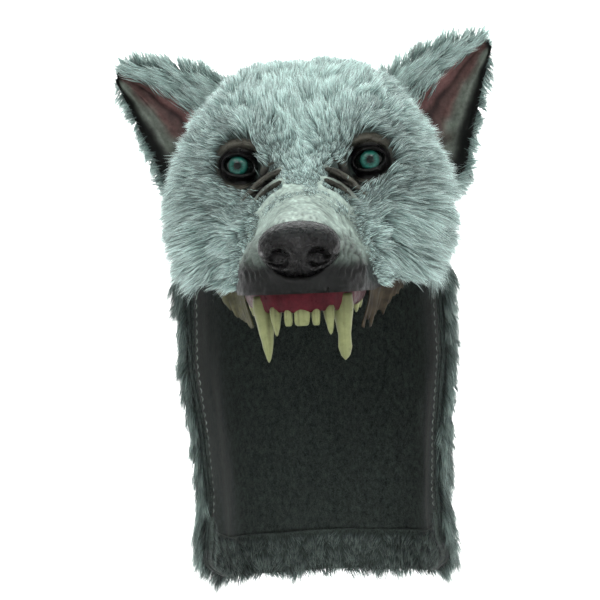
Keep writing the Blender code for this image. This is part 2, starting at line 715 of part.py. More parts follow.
def tooth_object(name, tooth, growth, surface=None):
    """Return one tooth as a closed body."""
    points = tooth_points(tooth, growth)
    rings = len(tooth.sections)
    faces = [
        tuple(range(TOOTH_SIDES)),
        tuple((rings - 1) * TOOTH_SIDES + index for index in reversed(range(TOOTH_SIDES))),
    ]
    for ring in range(rings - 1):
        for index in range(TOOTH_SIDES):
            a = ring * TOOTH_SIDES + index
            b = ring * TOOTH_SIDES + (index + 1) % TOOTH_SIDES
            faces.append((a, a + TOOTH_SIDES, b + TOOTH_SIDES, b))
    return add_object(name, points, faces, surface)


def build_teeth(gum, surface):
    """Build every tooth and cut its socket in the gum."""
    for tooth in TEETH:
        tooth_object(tooth.name, tooth, 0.0, surface)
        cut(gum, tooth_object("socket_" + tooth.name, tooth, FIT_GAP))


def ear_frame(side):
    """Return an ear's base middle and its axes: along the base, outward, and backward."""
    lean = math.radians(EAR_LEAN_RIGHT if side > 0 else EAR_LEAN_LEFT)
    turn = math.radians(EAR_TURN)
    outward = np.array((math.cos(lean), 0.0, math.sin(lean)))
    base = np.array((math.sin(lean), 0.0, -math.cos(lean)))
    back = np.array((0.0, 1.0, 0.0))
    spin = np.array((
        (math.cos(turn), -math.sin(turn), 0.0),
        (math.sin(turn), math.cos(turn), 0.0),
        (0.0, 0.0, 1.0),
    ))
    mirror = np.array((side, 1.0, 1.0))
    middle = np.array((EAR_SIDE, EAR_SET_BACK, CROWN_TOP - EAR_DROP))
    return middle * mirror, (spin @ base) * mirror, (spin @ outward) * mirror, (spin @ back) * mirror


def ear_grid(side, offset, cup_scale=1.0, spread=0.0):
    """Return an ear surface, root to tip by upper edge to lower edge, moved back by offset."""
    middle, base, outward, back = ear_frame(side)
    half = EAR_BASE_WIDTH / 2
    grid = []
    for height, upper, lower, cup in EAR_ROWS:
        line = []
        for column in range(EAR_COLUMNS + 1):
            across = column / EAR_COLUMNS
            width = (lower - upper) * half + 2 * spread
            along = upper * half - spread + across * width
            bow = 1 - (2 * across - 1) ** 2
            depth = cup_scale * cup * EAR_CUP * bow + offset
            rise = height * EAR_HEIGHT + spread * max(0.0, height)
            line.append(middle + base * along + outward * rise + back * depth)
        grid.append(line)
    return np.array(grid)


def build_ear(name, side, latex, fur, head_cutter, hood):
    """Build one ear: the latex cup, the furred back, and their place in the hood."""
    cup_front = ear_grid(side, 0.0)
    cup_back = ear_grid(side, EAR_WALL)
    ear = layered_solid("ear_" + name, cup_back, cup_front, latex)
    cut(ear, head_cutter)
    backing = ear_grid(side, EAR_WALL + CLOTH_GAP)
    locks = ear_grid(side, EAR_WALL + CLOTH_GAP + FUR_BACKING, spread=FIT_GAP)
    tufts = ear_grid(side, EAR_WALL + CLOTH_GAP + EAR_PILE, spread=EAR_PILE)
    outer = locks.copy()
    rows, columns = outer.shape[:2]
    for row in range(rows):
        for column in range(columns):
            edge = column in (0, columns - 1) or row == rows - 1
            full = (row + column) % 2 == 0
            share = (1.0 if full else EAR_EDGE_LOCK) if edge or row % 2 else EAR_FACE_LOCK
            outer[row, column] += share * (tufts[row, column] - locks[row, column])
    furred = layered_solid("ear_fur_" + name, outer, backing, fur)
    cut(furred, head_cutter)
    reach = EAR_PILE + EAR_CLEARANCE
    behind = ear_grid(side, EAR_WALL + CLOTH_GAP + reach, spread=reach)
    before = ear_grid(side, -EAR_WALL, cup_scale=0.0, spread=reach)
    cut(hood, layered_solid("ear_place_" + name, behind, before))


def drape_plan(head):
    """Return the drape's plan: points of the collar's edge from front left round to front right."""
    ends = head[:, 0, 1]
    round_part = [index for index in range(1, len(ends)) if ends[index] > PLAN_CENTRE_Y]
    straight = [index for index in range(1, len(ends)) if DRAPE_FRONT_Y <= ends[index] <= PLAN_CENTRE_Y]
    stations = round_part + straight[(len(straight) + 1) % 2::2]
    left = [head[index, 0, :2] for index in reversed(stations)]
    right = [head[index, -1, :2] for index in stations]
    across = head[0, :, :2]
    back = across[np.linspace(0, len(across) - 1, DRAPE_BACK_COLUMNS).round().astype(int)]
    return np.array(left + list(back) + right)


def plan_normals(plan):
    """Return the outward directions along the drape's plan."""
    along = np.gradient(plan, axis=0)
    out = np.column_stack([-along[:, 1], along[:, 0]])
    out /= np.linalg.norm(out, axis=1, keepdims=True)
    return out


def drape_levels():
    """Return the drape's levels as shares of its length: the collar, the lining's top, the rest."""
    collar = (COLLAR_DEPTH + CLOTH_GAP - DRAPE_TOP_GAP) / DRAPE_LENGTH
    crease = 1 - HEM_HEIGHT / DRAPE_LENGTH
    steps = np.linspace(collar, crease, DRAPE_FUR_ROWS)
    return [0.0] + list(steps) + [1.0]


def drape_grid(head, levels, offset):
    """Return a layer of the drape, top to bottom by left front to right front.

    Its lower edge rises toward both front edges.
    """
    plan = drape_plan(head)
    out = plan_normals(plan)
    table = np.array([tuple(row) for row in DRAPE_ROWS])
    top = COLLAR_Z - DRAPE_TOP_GAP
    places = np.linspace(0.0, 1.0, len(plan))
    grid = []
    for level in levels:
        width, back, wave = (np.interp(level, table[:, 0], table[:, column]) for column in (1, 2, 3))
        sway = wave * DRAPE_WAVE * np.sin(2 * math.pi * DRAPE_WAVES * places)
        line = plan + out * (offset + sway)[:, None]
        line[:, 0] *= width
        line[:, 1] = np.where(line[:, 1] > 0, line[:, 1] * back, line[:, 1])
        rise = HEM_RISE * level * np.abs(2 * places - 1) ** HEM_ROUNDNESS
        z = top - level * DRAPE_LENGTH * (1 - rise)
        grid.append(np.column_stack([line, z]))
    return np.array(grid)


def drape_wall(name, head, levels, start, wall, surface):
    """Return one even wall of the drape between two offsets."""
    outer = drape_grid(head, levels, start + wall)
    inner = drape_grid(head, levels, start)
    return layered_solid(name, outer, inner, surface)


def build_drape(head, fabric, felt, facing):
    """Build the drape's backing, its lining and the facing along the hem."""
    levels = drape_levels()
    drape_wall("neck_drape", head, levels, CLOTH_GAP, DRAPE_WALL, fabric)
    drape_wall("drape_lining", head, levels[1:-1], -LINING_WALL, LINING_WALL, felt)
    crease = levels[-2] + FIT_GAP / DRAPE_LENGTH
    drape_wall("hem_facing", head, [crease, 1.0], -HEM_WALL, HEM_WALL, facing)


def build_drape_fur(head, surface):
    """Build the drape's fur: a backing with rows of locks that hang down and outward."""
    levels = drape_levels()[1:]
    start = CLOTH_GAP * 2 + DRAPE_WALL
    inner = drape_grid(head, levels, start)
    outer = drape_grid(head, levels, start + FUR_BACKING)
    out = plan_normals(drape_plan(head))
    columns = inner.shape[1]
    for row in range(len(levels)):
        if row % 2 == 0:
            continue
        for column in range(columns):
            full = (column + row // 2) % 2 == 0
            flare = 1 + DRAPE_TOP_FLARE * (1 - levels[row]) ** 2
            height = DRAPE_PILE * (1.0 if full else SHORT_LOCK) * flare
            below = inner[min(row + 1, len(levels) - 1), column]
            tip = below.copy()
            tip[:2] += out[column] * height
            tip[2] -= LOCK_OVERHANG * (1.0 if full else DRAPE_SHORT_DROP)
            if column in (0, columns - 1):
                tip[1] -= DRAPE_PILE * DRAPE_EDGE_REACH
            outer[row, column] = tip
    return layered_solid("drape_fur", outer, inner, surface)


def main():
    """Build the mask from the head outward."""
    clear_scene()
    latex = material("dark_latex", (0.045, 0.052, 0.047), 0.45)
    fur = material("grey_fur", (0.22, 0.29, 0.28), 0.9)
    dark_fur = material("drape_fur", (0.10, 0.13, 0.12), 0.9)
    black = material("black_nose", (0.010, 0.012, 0.012), 0.2)
    ivory = material("ivory_teeth", (0.35, 0.38, 0.22), 0.35)
    red = material("dark_gum", (0.12, 0.02, 0.03), 0.3)
    teal = material("teal_eye", (0.03, 0.17, 0.14), 0.08)
    felt = material("charcoal_felt", (0.018, 0.022, 0.020), 0.95)
    facing = material("hem_fur", (0.040, 0.052, 0.046), 0.95)
    ear_latex = material("ear_latex", (0.12, 0.08, 0.075), 0.5)
    head = head_grid()
    normals = grid_normals(head)
    shell = build_face_shell(head, normals, latex)
    build_eyes(shell, teal)
    hood = build_head_fur(head, normals, fur)
    cut_eye_patches(hood)
    head_cutter = solid_head("head_solid", head, normals, FIT_GAP)
    build_nose(head_cutter, black)
    for name, side in (("left", -1), ("right", 1)):
        build_ear(name, side, ear_latex, fur, head_cutter, hood)
    gum = build_gum(red)
    build_teeth(gum, ivory)
    build_drape(head, dark_fur, felt, facing)
    build_drape_fur(head, dark_fur)


main()
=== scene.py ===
"""Looks of the wolf head mask: painted latex, faux fur in strands, glass eyes, teeth and felt."""
import logging
import math
from dataclasses import dataclass
from enum import Enum
from typing import NamedTuple, Sequence

import bmesh
import bpy
import numpy as np
from bpy.types import Material, Node, NodeTree, Object
from mathutils import Matrix, Vector, noise
from mathutils.bvhtree import BVHTree
from mathutils.kdtree import KDTree


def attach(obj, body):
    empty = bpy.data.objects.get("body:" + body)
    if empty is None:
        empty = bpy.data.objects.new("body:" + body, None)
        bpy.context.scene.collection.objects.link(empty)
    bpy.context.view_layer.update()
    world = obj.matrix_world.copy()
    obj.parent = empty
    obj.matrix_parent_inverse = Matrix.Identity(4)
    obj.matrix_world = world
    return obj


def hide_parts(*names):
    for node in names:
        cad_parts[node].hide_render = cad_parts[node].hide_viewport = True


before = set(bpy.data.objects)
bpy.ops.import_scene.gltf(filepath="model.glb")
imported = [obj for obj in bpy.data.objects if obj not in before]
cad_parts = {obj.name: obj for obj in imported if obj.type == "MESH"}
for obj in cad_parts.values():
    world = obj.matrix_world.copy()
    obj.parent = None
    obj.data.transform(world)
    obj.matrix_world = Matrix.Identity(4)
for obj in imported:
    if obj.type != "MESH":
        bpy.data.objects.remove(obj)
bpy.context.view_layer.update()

LOG = logging.getLogger("wolf_mask")
Array = np.ndarray
MM = 0.001
SEED = 20
DOWN = np.array((0.0, 0.0, -1.0))
WELD_REACH = 1e-6  # metres
DARKEST = 0.003  # no paint is blacker, so that it still shows its form


class Side(Enum):
    """The mask's two sides as the viewer sees them."""

    LEFT = -1
    RIGHT = 1

    @property
    def label(self) -> str:
        """The side's name in lower case, as the nodes use it."""
        return self.name.lower()


def linear(code: str) -> tuple[float, float, float]:
    """Turn an sRGB hex colour into linear values.

    Args:
        code: The colour as "#rrggbb".

    Returns:
        Linear red, green and blue.
    """
    shares = [int(code[start:start + 2], 16) / 255 for start in (1, 3, 5)]
    return tuple(s / 12.92 if s <= 0.04045 else ((s + 0.055) / 1.055) ** 2.4 for s in shares)


def paint(code: str) -> Array:
    """Return a hex colour as a linear array for painting points."""
    return np.array(linear(code))


def brush(colour: Array, share: Array, code: str) -> Array:
    """Brush a hex colour over painted points, by a share from 0 to 1."""
    return colour * (1 - share) + paint(code) * share


def paint_relief_shade_and_highlight(colour: Array, relief: Array, full: float, darker: float,
                   lighter: float) -> Array:
    """Paint shade into hollows and highlights onto ridges, by darkening the colour in hollows and lightening
    it on ridges.

    Args:
        colour: Linear colour at each point.
        relief: Height at each point, negative inward.
        full: Height or depth of the full effect.
        darker: Share of the colour that the deepest hollows lose, as painted shade.
        lighter: Share that the highest ridges gain, as painted highlight.

    Returns:
        The shaded colours.
    """
    share = np.clip(relief / full, -1, 1)[..., None]
    return colour * np.where(share < 0, 1 + darker * share, 1 + lighter * share)


def ease(value: Array | float, low: float, high: float) -> Array:
    """Rise smoothly from 0 at low to 1 at high; low may be above high."""
    share = np.clip((value - low) / (high - low), 0.0, 1.0)
    return share * share * (3 - 2 * share)


def bell(value: Array, width: float) -> Array:
    """Return a bell curve of height 1 round a value of 0."""
    return np.exp(-(value / width) ** 2)


def unit(vectors: Array) -> Array:
    """Return the vectors at unit length."""
    return vectors / np.maximum(np.linalg.norm(vectors, axis=-1, keepdims=True), 1e-12)


def share_grids(rows: int, columns: int) -> tuple[Array, Array]:
    """Return how far each point lies across a grid's columns and along its rows, from 0 to 1."""
    across = np.linspace(0, 1, columns)[None] + np.zeros((rows, 1))
    return across, np.linspace(0, 1, rows)[:, None] + np.zeros((1, columns))


def face_with(normals: Array, guide: Array) -> Array:
    """Turn round the normals that point against a guide."""
    return np.where((normals * guide).sum(axis=1, keepdims=True) < 0, -normals, normals)


def rough_noise(points: Array, scale: float, seed: float = 0.0) -> Array:
    """Return smooth noise from -1 to 1 at each point.

    Args:
        points: Points in metres, any leading shape.
        scale: Size of the noise's lumps in metres.
        seed: Shift that picks another pattern.

    Returns:
        One value per point.
    """
    flat = points.reshape(-1, 3) / scale + seed
    values = [noise.noise(Vector(point)) for point in flat]
    return np.array(values).reshape(points.shape[:-1])


def link_inputs(tree: NodeTree, node: Node, links: dict) -> None:
    """Link a node's inputs.

    Args:
        tree: The node tree.
        node: The node.
        links: By input name or index, an output socket, or a node for its first output.
    """
    for name, source in links.items():
        socket = source.outputs[0] if isinstance(source, Node) else source
        tree.links.new(socket, node.inputs[name])


def add_node(tree: NodeTree, kind: str, settings: dict | None = None,
             values: dict | None = None, links: dict | None = None) -> Node:
    """Add a shader node with its settings, socket values and links.

    Args:
        tree: The node tree.
        kind: The node's type, without its "ShaderNode".
        settings: Properties of the node.
        values: Constant values by input name or index.
        links: As link_inputs takes them.

    Returns:
        The new node.
    """
    node = tree.nodes.new("ShaderNode" + kind)
    for name, value in (settings or {}).items():
        setattr(node, name, value)
    for name, value in (values or {}).items():
        node.inputs[name].default_value = value
    link_inputs(tree, node, links or {})
    return node


def new_finish(name: str, values: dict[str, float]) -> tuple:
    """Start a material.

    Args:
        name: The material's name.
        values: Constants for the shader's own sockets.

    Returns:
        The material, its node tree and its shader.
    """
    finish = bpy.data.materials.new(name)
    finish.use_nodes = True
    shader = finish.node_tree.nodes["Principled BSDF"]
    for socket, value in values.items():
        shader.inputs[socket].default_value = value
    return finish, finish.node_tree, shader


def set_stops(ramp: Node, stops: Sequence[tuple[float, str]]) -> None:
    """Give a colour ramp its stops.

    Args:
        ramp: The ramp's node.
        stops: Position and hex colour of each stop, from 0 to 1.
    """
    elements = ramp.color_ramp.elements
    elements[0].color = (*linear(stops[0][1]), 1)
    elements[1].color = (*linear(stops[-1][1]), 1)
    for position, code in stops[1:-1]:
        elements.new(position).color = (*linear(code), 1)


def select_only(item: Object) -> None:
    """Deselect everything, then select one object and make it active.

    Args:
        item: The piece.
    """
    bpy.ops.object.select_all(action="DESELECT")
    item.select_set(True)
    bpy.context.view_layer.objects.active = item


def mesh_piece(name: str, points: Array, faces: Sequence, finish: Material,
               colours: Array | None = None) -> Object:
    """Make a smooth-shaded piece from points and faces.

    Args:
        name: The piece's name.
        points: Points in metres.
        faces: Faces as point indices, facing out.
        finish: The piece's material.
        colours: Linear colour per point for the attribute "paint", or None.

    Returns:
        The new object.
    """
    mesh = bpy.data.meshes.new(name)
    mesh.from_pydata(np.asarray(points).reshape(-1, 3).tolist(), [], [tuple(face) for face in faces])
    if colours is not None:
        layer = mesh.color_attributes.new("paint", "FLOAT_COLOR", "POINT")
        rgba = np.ones((len(mesh.vertices), 4), np.float32)
        rgba[:, :3] = colours.reshape(-1, 3)
        layer.data.foreach_set("color", rgba.ravel())
    mesh.shade_smooth()
    mesh.materials.append(finish)
    item = bpy.data.objects.new(name, mesh)
    bpy.context.scene.collection.objects.link(item)
    return item


def register(item: Object, slot: str, *nodes: str) -> Object:
    """Let a piece ride on the mask and hide the CAD nodes that it stands for.

    Args:
        item: The piece.
        slot: The material slot of the CAD that it takes; not used.
        nodes: CAD nodes that it stands for.

    Returns:
        The same piece.
    """
    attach(item, "root")
    if nodes:
        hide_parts(*nodes)
    LOG.info("%s: %d faces", item.name, len(item.data.polygons))
    return item


def merge_and_turn_out(item: Object) -> None:
    """Merge doubled points and let all faces of a closed piece point outwards.

    Args:
        item: The piece.
    """
    select_only(item)
    bpy.ops.object.mode_set(mode="EDIT")
    bpy.ops.mesh.select_all(action="SELECT")
    bpy.ops.mesh.remove_doubles(threshold=WELD_REACH)
    bpy.ops.mesh.normals_make_consistent(inside=False)
    bpy.ops.object.mode_set(mode="OBJECT")


def smooth_curve(points: Sequence, spacing: float = 0.0, counts: Sequence | None = None) -> Array:
    """Run a smooth curve through rows of points, along the first axis.

    Args:
        points: Rows; each may be one point or a whole line of points.
        spacing: Wanted distance between the new rows.
        counts: Number of steps between each two rows, instead of spacing.

    Returns:
        The denser rows.
    """
    rows = np.asarray(points, dtype=float)
    gaps = np.linalg.norm(np.diff(rows, axis=0), axis=-1)
    lengths = gaps.reshape(len(gaps), -1).mean(axis=1)
    shape = (-1,) + (1,) * (rows.ndim - 1)
    rates = np.diff(rows, axis=0) / lengths.reshape(shape)
    slopes = np.empty_like(rows)
    slopes[0] = rates[0]
    slopes[-1] = rates[-1]
    before = lengths[:-1].reshape(shape)
    after = lengths[1:].reshape(shape)
    slopes[1:-1] = (rates[:-1] * after + rates[1:] * before) / (before + after)
    out = [rows[0]]
    for index, length in enumerate(lengths):
        steps = counts[index] if counts else max(1, round(length / spacing))
        for t in np.linspace(0, 1, steps + 1)[1:]:
            start = (1 + 2 * t) * (1 - t) ** 2 * rows[index] + t * (1 - t) ** 2 * length * slopes[index]
            end = t * t * (3 - 2 * t) * rows[index + 1] + t * t * (t - 1) * length * slopes[index + 1]
            out.append(start + end)
    return np.array(out)


def grid_normals(grid: Array) -> Array:
    """Return the unit normals of a grid of points, pointing away from the head.

    Args:
        grid: Points by row and column.

    Returns:
        A unit vector at each point.
    """
    normals = unit(np.cross(np.gradient(grid, axis=0), np.gradient(grid, axis=1)))
    for row, next_row in ((0, 1), (-1, -2)):
        for edge, next_edge in ((0, 1), (-1, -2)):
            normals[row, edge] = normals[next_row, edge] + normals[row, next_edge]
    return unit(normals)


def grid_faces(rows: int, columns: int, start: int = 0, flip: bool = False, closed: bool = False) -> list:
    """Return the quads of a grid; a closed grid's columns run round.

    Args:
        rows: Number of rows.
        columns: Number of columns.
        start: Index of the first point.
        flip: True to turn the faces round.
        closed: True where the columns run round.

    Returns:
        Faces as point indices.
    """
    faces = []
    for row in range(rows - 1):
        for column in range(columns if closed else columns - 1):
            after = (column + 1) % columns
            a, b = start + row * columns + column, start + row * columns + after
            quad = (a, b, b + columns, a + columns)
            faces.append(quad[::-1] if flip else quad)
    return faces


def wall_faces(rows: int, columns: int) -> list:
    """Return the faces of a closed wall: outer grid, inner grid after it, and the rim.

    Args:
        rows: Number of rows.
        columns: Number of columns.

    Returns:
        Faces as point indices.
    """
    count = rows * columns
    faces = grid_faces(rows, columns) + grid_faces(rows, columns, count, flip=True)
    rim = list(range(columns)) + [row * columns + columns - 1 for row in range(1, rows)]
    rim += [(rows - 1) * columns + column for column in range(columns - 2, -1, -1)]
    rim += [row * columns for row in range(rows - 2, 0, -1)]
    for index, first in enumerate(rim):
        second = rim[(index + 1) % len(rim)]
        faces.append((second, first, first + count, second + count))
    return faces


def closed_wall(name: str, outer: Array, inner: Array, finish: Material,
                colours: tuple | None = None) -> Object:
    """Close two grids into one wall.

    Args:
        name: The piece's name.
        outer: The outer grid of points.
        inner: The inner grid, of the same size.
        finish: The piece's material.
        colours: Linear colours of the outer and the inner grid, or None.

    Returns:
        The new object.
    """
    points = np.concatenate([outer.reshape(-1, 3), inner.reshape(-1, 3)])
    shades = None if colours is None else np.concatenate([part.reshape(-1, 3) for part in colours])
    item = mesh_piece(name, points, wall_faces(*outer.shape[:2]), finish, shades)
    merge_and_turn_out(item)
    return item


class Section(NamedTuple):
    """One half section of the head, from its ridge to its lower rim."""

    place: float
    ridge: float
    brow_x: float
    brow_z: float
    temple_x: float
    temple_z: float
    cheek_x: float
    cheek_z: float
    rim_x: float
    rim_z: float


class Form(NamedTuple):
    """A swelling or hollow of the face; side 0 stands on the middle line."""

    name: str
    side: float
    place: float
    drop: float
    radius: float
    raise_share: float


SKULL_SECTIONS = (
    Section(-1.00, 1.00, 0.10, 1.00, 0.21, 1.00, 0.28, 1.00, 0.32, 1.00),
    Section(-0.97, 0.75, 0.17, 0.77, 0.29, 0.83, 0.36, 0.92, 1.00, 1.00),
    Section(-0.88, 0.46, 0.27, 0.49, 0.48, 0.60, 0.61, 0.81, 1.00, 1.00),
    Section(-0.70, 0.22, 0.36, 0.25, 0.64, 0.42, 0.82, 0.72, 1.00, 1.00),
    Section(-0.42, 0.07, 0.43, 0.10, 0.76, 0.29, 0.96, 0.68, 1.00, 1.00),
    Section(0.00, 0.00, 0.46, 0.03, 0.80, 0.23, 1.01, 0.67, 1.00, 1.00),
    Section(0.35, 0.01, 0.46, 0.04, 0.81, 0.24, 1.05, 0.71, 1.00, 1.00),
    Section(0.60, 0.09, 0.45, 0.11, 0.79, 0.29, 1.04, 0.74, 0.96, 1.00),
    Section(0.80, 0.21, 0.42, 0.21, 0.73, 0.37, 0.96, 0.77, 0.88, 1.03),
    Section(0.92, 0.34, 0.40, 0.30, 0.66, 0.44, 0.83, 0.78, 0.78, 1.05),
    Section(1.00, 0.46, 0.36, 0.40, 0.58, 0.54, 0.70, 0.81, 0.66, 1.08),
)
MUZZLE_SECTIONS = (
    Section(1.09, 1.31, 0.43, 1.28, 0.85, 1.01, 1.13, 0.57, 1.15, 0.04),
    Section(1.20, 1.17, 0.34, 1.12, 0.68, 0.89, 0.98, 0.45, 1.05, 0.02),
    Section(1.40, 1.02, 0.29, 0.97, 0.60, 0.75, 0.90, 0.34, 0.99, 0.00),
    Section(1.65, 0.88, 0.26, 0.84, 0.54, 0.64, 0.84, 0.27, 0.91, 0.00),
    Section(1.83, 0.75, 0.24, 0.72, 0.48, 0.54, 0.72, 0.23, 0.78, 0.00),
    Section(1.93, 0.60, 0.20, 0.57, 0.40, 0.43, 0.57, 0.17, 0.62, 0.00),
    Section(1.98, 0.34, 0.16, 0.31, 0.30, 0.23, 0.43, 0.11, 0.47, 0.00),
    Section(2.00, 0.00, 0.13, 0.00, 0.25, 0.00, 0.35, 0.00, 0.39, 0.00),
)
FACE_FORMS = (
    Form("brow", 0.46, 0.93, 0.36, 0.20, 0.9),
    Form("eye socket", 0.51, 1.01, 0.53, 0.17, -1.1),
    Form("stop between the brows", 0.00, 0.97, 0.44, 0.13, -0.5),
    Form("cheekbone", 0.70, 0.93, 0.72, 0.20, 0.5),
    Form("whisker pad", 0.36, 1.72, 1.01, 0.18, 0.7),
    Form("muzzle hollow", 0.40, 1.30, 0.86, 0.16, -0.5),
)


@dataclass(frozen=True)
class HeadForm:
    """The latex head's outer surface, the same as the solid's, at any fineness."""

    skull_half_width: float = 0.096
    skull_back: float = 0.104
    face_depth: float = 0.097
    muzzle_length: float = 0.116
    muzzle_half_width: float = 0.049
    muzzle_height: float = 0.068
    crown_to_collar: float = 0.153
    crown_to_lip: float = 0.172
    collar_depth: float = 0.014
    lip_depth: float = 0.003
    wall: float = 0.003
    plan_centre_y: float = 0.010
    plan_roundness: float = 2.6
    form_relief: float = 0.006
    drape_front_y: float = -0.040
    face_row: int = 7

    @property
    def collar_z(self) -> float:
        """Height of the head's lower edge at the back."""
        return self.wall - self.crown_to_collar

    @property
    def lip_z(self) -> float:
        """Height of the upper lip's edge."""
        return self.wall - self.crown_to_lip

    def y_at(self, place: float) -> float:
        """Turn a place along the head into its Y: back at -1, crown 0, eyes 1, muzzle front 2.

        Args:
            place: The place: back -1, crown 0, eyes 1, muzzle front 2.

        Returns:
            The Y.
        """
        if place < 0:
            return -place * self.skull_back
        if place < 1:
            return -place * self.face_depth
        return -self.face_depth - (place - 1) * self.muzzle_length

    def plan_half_width(self, y: float) -> float:
        """Return the collar's half width at a Y.

        Args:
            y: The Y.

        Returns:
            The half width.
        """
        if y <= self.plan_centre_y:
            return self.skull_half_width
        share = (y - self.plan_centre_y) / (self.skull_back - self.plan_centre_y)
        return self.skull_half_width * max(0.0, 1 - share ** self.plan_roundness) ** (1 / self.plan_roundness)

    def plan_back_y(self, x: float) -> float:
        """Return the Y of the collar's rounded back at an X.

        Args:
            x: The X.

        Returns:
            The Y.
        """
        share = min(1.0, abs(x) / self.skull_half_width)
        reach = (1 - share ** self.plan_roundness) ** (1 / self.plan_roundness)
        return self.plan_centre_y + (self.skull_back - self.plan_centre_y) * reach

    def section(self, row: Section, muzzle: bool) -> list:
        """Return a whole section's control points, left rim to right rim.

        Args:
            row: The half section's sizes.
            muzzle: True for the muzzle's own scales.

        Returns:
            Control points, left to right.
        """
        y = self.y_at(row.place)
        pairs = [(0.0, row.ridge), (row.brow_x, row.brow_z), (row.temple_x, row.temple_z),
                 (row.cheek_x, row.cheek_z), (row.rim_x, row.rim_z)]
        if muzzle:
            half = [(x * self.muzzle_half_width, y, self.lip_z + z * self.muzzle_height) for x, z in pairs]
        else:
            half = [(x * self.skull_half_width, y, self.wall - z * self.crown_to_collar) for x, z in pairs]
            if row.place > -1:
                x, _, z = half[-1]
                half[-1] = (row.rim_x * self.plan_half_width(y), y, z)
            else:
                half = [(x, self.plan_back_y(x), z) for x, _, z in half]
        return [(-x, y, z) for x, y, z in reversed(half[1:])] + half

    def grid(self, spacing: float, steps: Sequence[int], fine: float = 0.0) -> Array:
        """Return the surface, back to front by left rim to right rim.

        Args:
            spacing: Distance between two stations.
            steps: Steps between ridge, brow, temple, cheek and rim.
            fine: Distance between two stations of the face and muzzle, if it differs.

        Returns:
            An array of points by station and column.
        """
        rows = [self.section(row, False) for row in SKULL_SECTIONS]
        rows += [self.section(row, True) for row in MUZZLE_SECTIONS]
        gaps = np.linalg.norm(np.diff(np.array(rows), axis=0), axis=-1).mean(axis=1)
        wanted = [fine if fine and index >= self.face_row else spacing for index in range(len(gaps))]
        stations = smooth_curve(rows, counts=[max(1, round(gap / want)) for gap, want in zip(gaps, wanted)])
        counts = tuple(steps)[::-1] + tuple(steps)
        grid = np.array([smooth_curve(line, counts=counts) for line in stations])
        normals = grid_normals(grid)
        shaped = grid.copy()
        for form in FACE_FORMS:
            for side in ((-1, 1) if form.side else (1,)):
                centre = np.array((side * form.side * self.skull_half_width, self.y_at(form.place),
                                   self.wall - form.drop * self.crown_to_collar))
                reach = np.linalg.norm(grid - centre, axis=2) / (form.radius * self.skull_half_width)
                shaped += (form.raise_share * self.form_relief * np.exp(-reach ** 2))[..., None] * normals
        return shaped

    def with_skirt(self, grid: Array, bottoms: Array) -> Array:
        """Carry a grid's edge straight down to the bottoms given for its own rows.

        Args:
            grid: Points by row and column.
            bottoms: Height of the lower edge at each row.

        Returns:
            The grid with one more row or column along each edge.
        """
        low = grid[:, [0, -1]].copy()
        low[:, :, 2] = bottoms[:, None]
        wide = np.concatenate([low[:, :1], grid, low[:, 1:]], axis=1)
        first, last = wide[:1].copy(), wide[-1:].copy()
        first[..., 2] = bottoms[0]
        last[..., 2] = bottoms[-1]
        return np.concatenate([first, wide, last])

    def bottoms(self, grid: Array) -> Array:
        """Return how low the latex reaches at each station."""
        share = (grid[:, 0, 1] + self.face_depth) / (self.face_depth + self.drape_front_y)
        return grid[:, 0, 2] - self.lip_depth - np.clip(share, 0, 1) * (self.collar_depth - self.lip_depth)


@dataclass(frozen=True)
class PaintedLatex:
    """Cast latex, brushed with matt mask paint: satin, with fine pores and stippled tone."""

    name: str
    roughness: float = 0.45
    pore_mm: float = 1.1
    pore_depth_mm: float = 0.12
    stipple: float = 0.35
    blot_mm: float = 4.0
    gleam: float = 0.18

    def build(self) -> Material:
        """Return the material; its colour is the piece's own paint attribute.

        Returns:
            The material.
        """
        finish, tree, shader = new_finish(self.name, {"Specular IOR Level": self.gleam})
        place = add_node(tree, "TexCoord")
        colour = add_node(tree, "VertexColor", {"layer_name": "paint"})
        blot = add_node(tree, "TexNoise",
                        values={"Scale": 1 / (self.blot_mm * MM), "Detail": 5.0, "Roughness": 0.7},
                        links={"Vector": place.outputs["Object"]})
        tone = add_node(tree, "MapRange",
                        values={"From Min": 0.3, "From Max": 0.7, "To Min": 1 - self.stipple,
                                "To Max": 1 + self.stipple},
                        links={"Value": blot})
        mixed = add_node(tree, "VectorMath", {"operation": "SCALE"},
                         links={0: colour, "Scale": tone})
        gloss = add_node(tree, "MapRange",
                         values={"From Min": 0.35, "From Max": 0.65, "To Min": self.roughness - 0.1,
                                 "To Max": self.roughness + 0.15},
                         links={"Value": blot})
        pores = add_node(tree, "TexVoronoi", {"feature": "F1"},
                         {"Scale": 1 / (self.pore_mm * MM)}, {"Vector": place.outputs["Object"]})
        bump = add_node(tree, "Bump", values={"Strength": 0.8, "Distance": self.pore_depth_mm * MM},
                        links={"Height": pores})
        link_inputs(tree, shader, {"Base Color": mixed, "Roughness": gloss, "Normal": bump})
        return finish


@dataclass(frozen=True)
class FauxFur:
    """Acrylic long-pile fur: dark roots, a soft sheen and lighter, frosted tips.

    The colour follows the strand's own map: its tone across, and root to tip along it.
    """

    name: str
    root: str
    middle: str
    tip: str
    middle_at: float = 0.45
    dark: float = 0.30
    light: float = 1.7

    def build(self) -> Material:
        """Return the material of the strands.

        Returns:
            The material.
        """
        finish, tree, shader = new_finish(
            self.name, {"Roughness": 0.62, "Specular IOR Level": 0.25, "Sheen Weight": 0.15})
        strand = add_node(tree, "UVMap", {"uv_map": "strand"})
        parts = add_node(tree, "SeparateXYZ", links={"Vector": strand})
        ramp = add_node(tree, "ValToRGB", links={"Fac": parts.outputs["Y"]})
        set_stops(ramp, ((0.0, self.root), (self.middle_at, self.middle), (1.0, self.tip)))
        tone = add_node(tree, "MapRange", values={"To Min": self.dark, "To Max": self.light},
                        links={"Value": parts.outputs["X"]})
        mixed = add_node(tree, "VectorMath", {"operation": "SCALE"},
                         links={0: ramp, "Scale": tone})
        link_inputs(tree, shader, {"Base Color": mixed})
        return finish


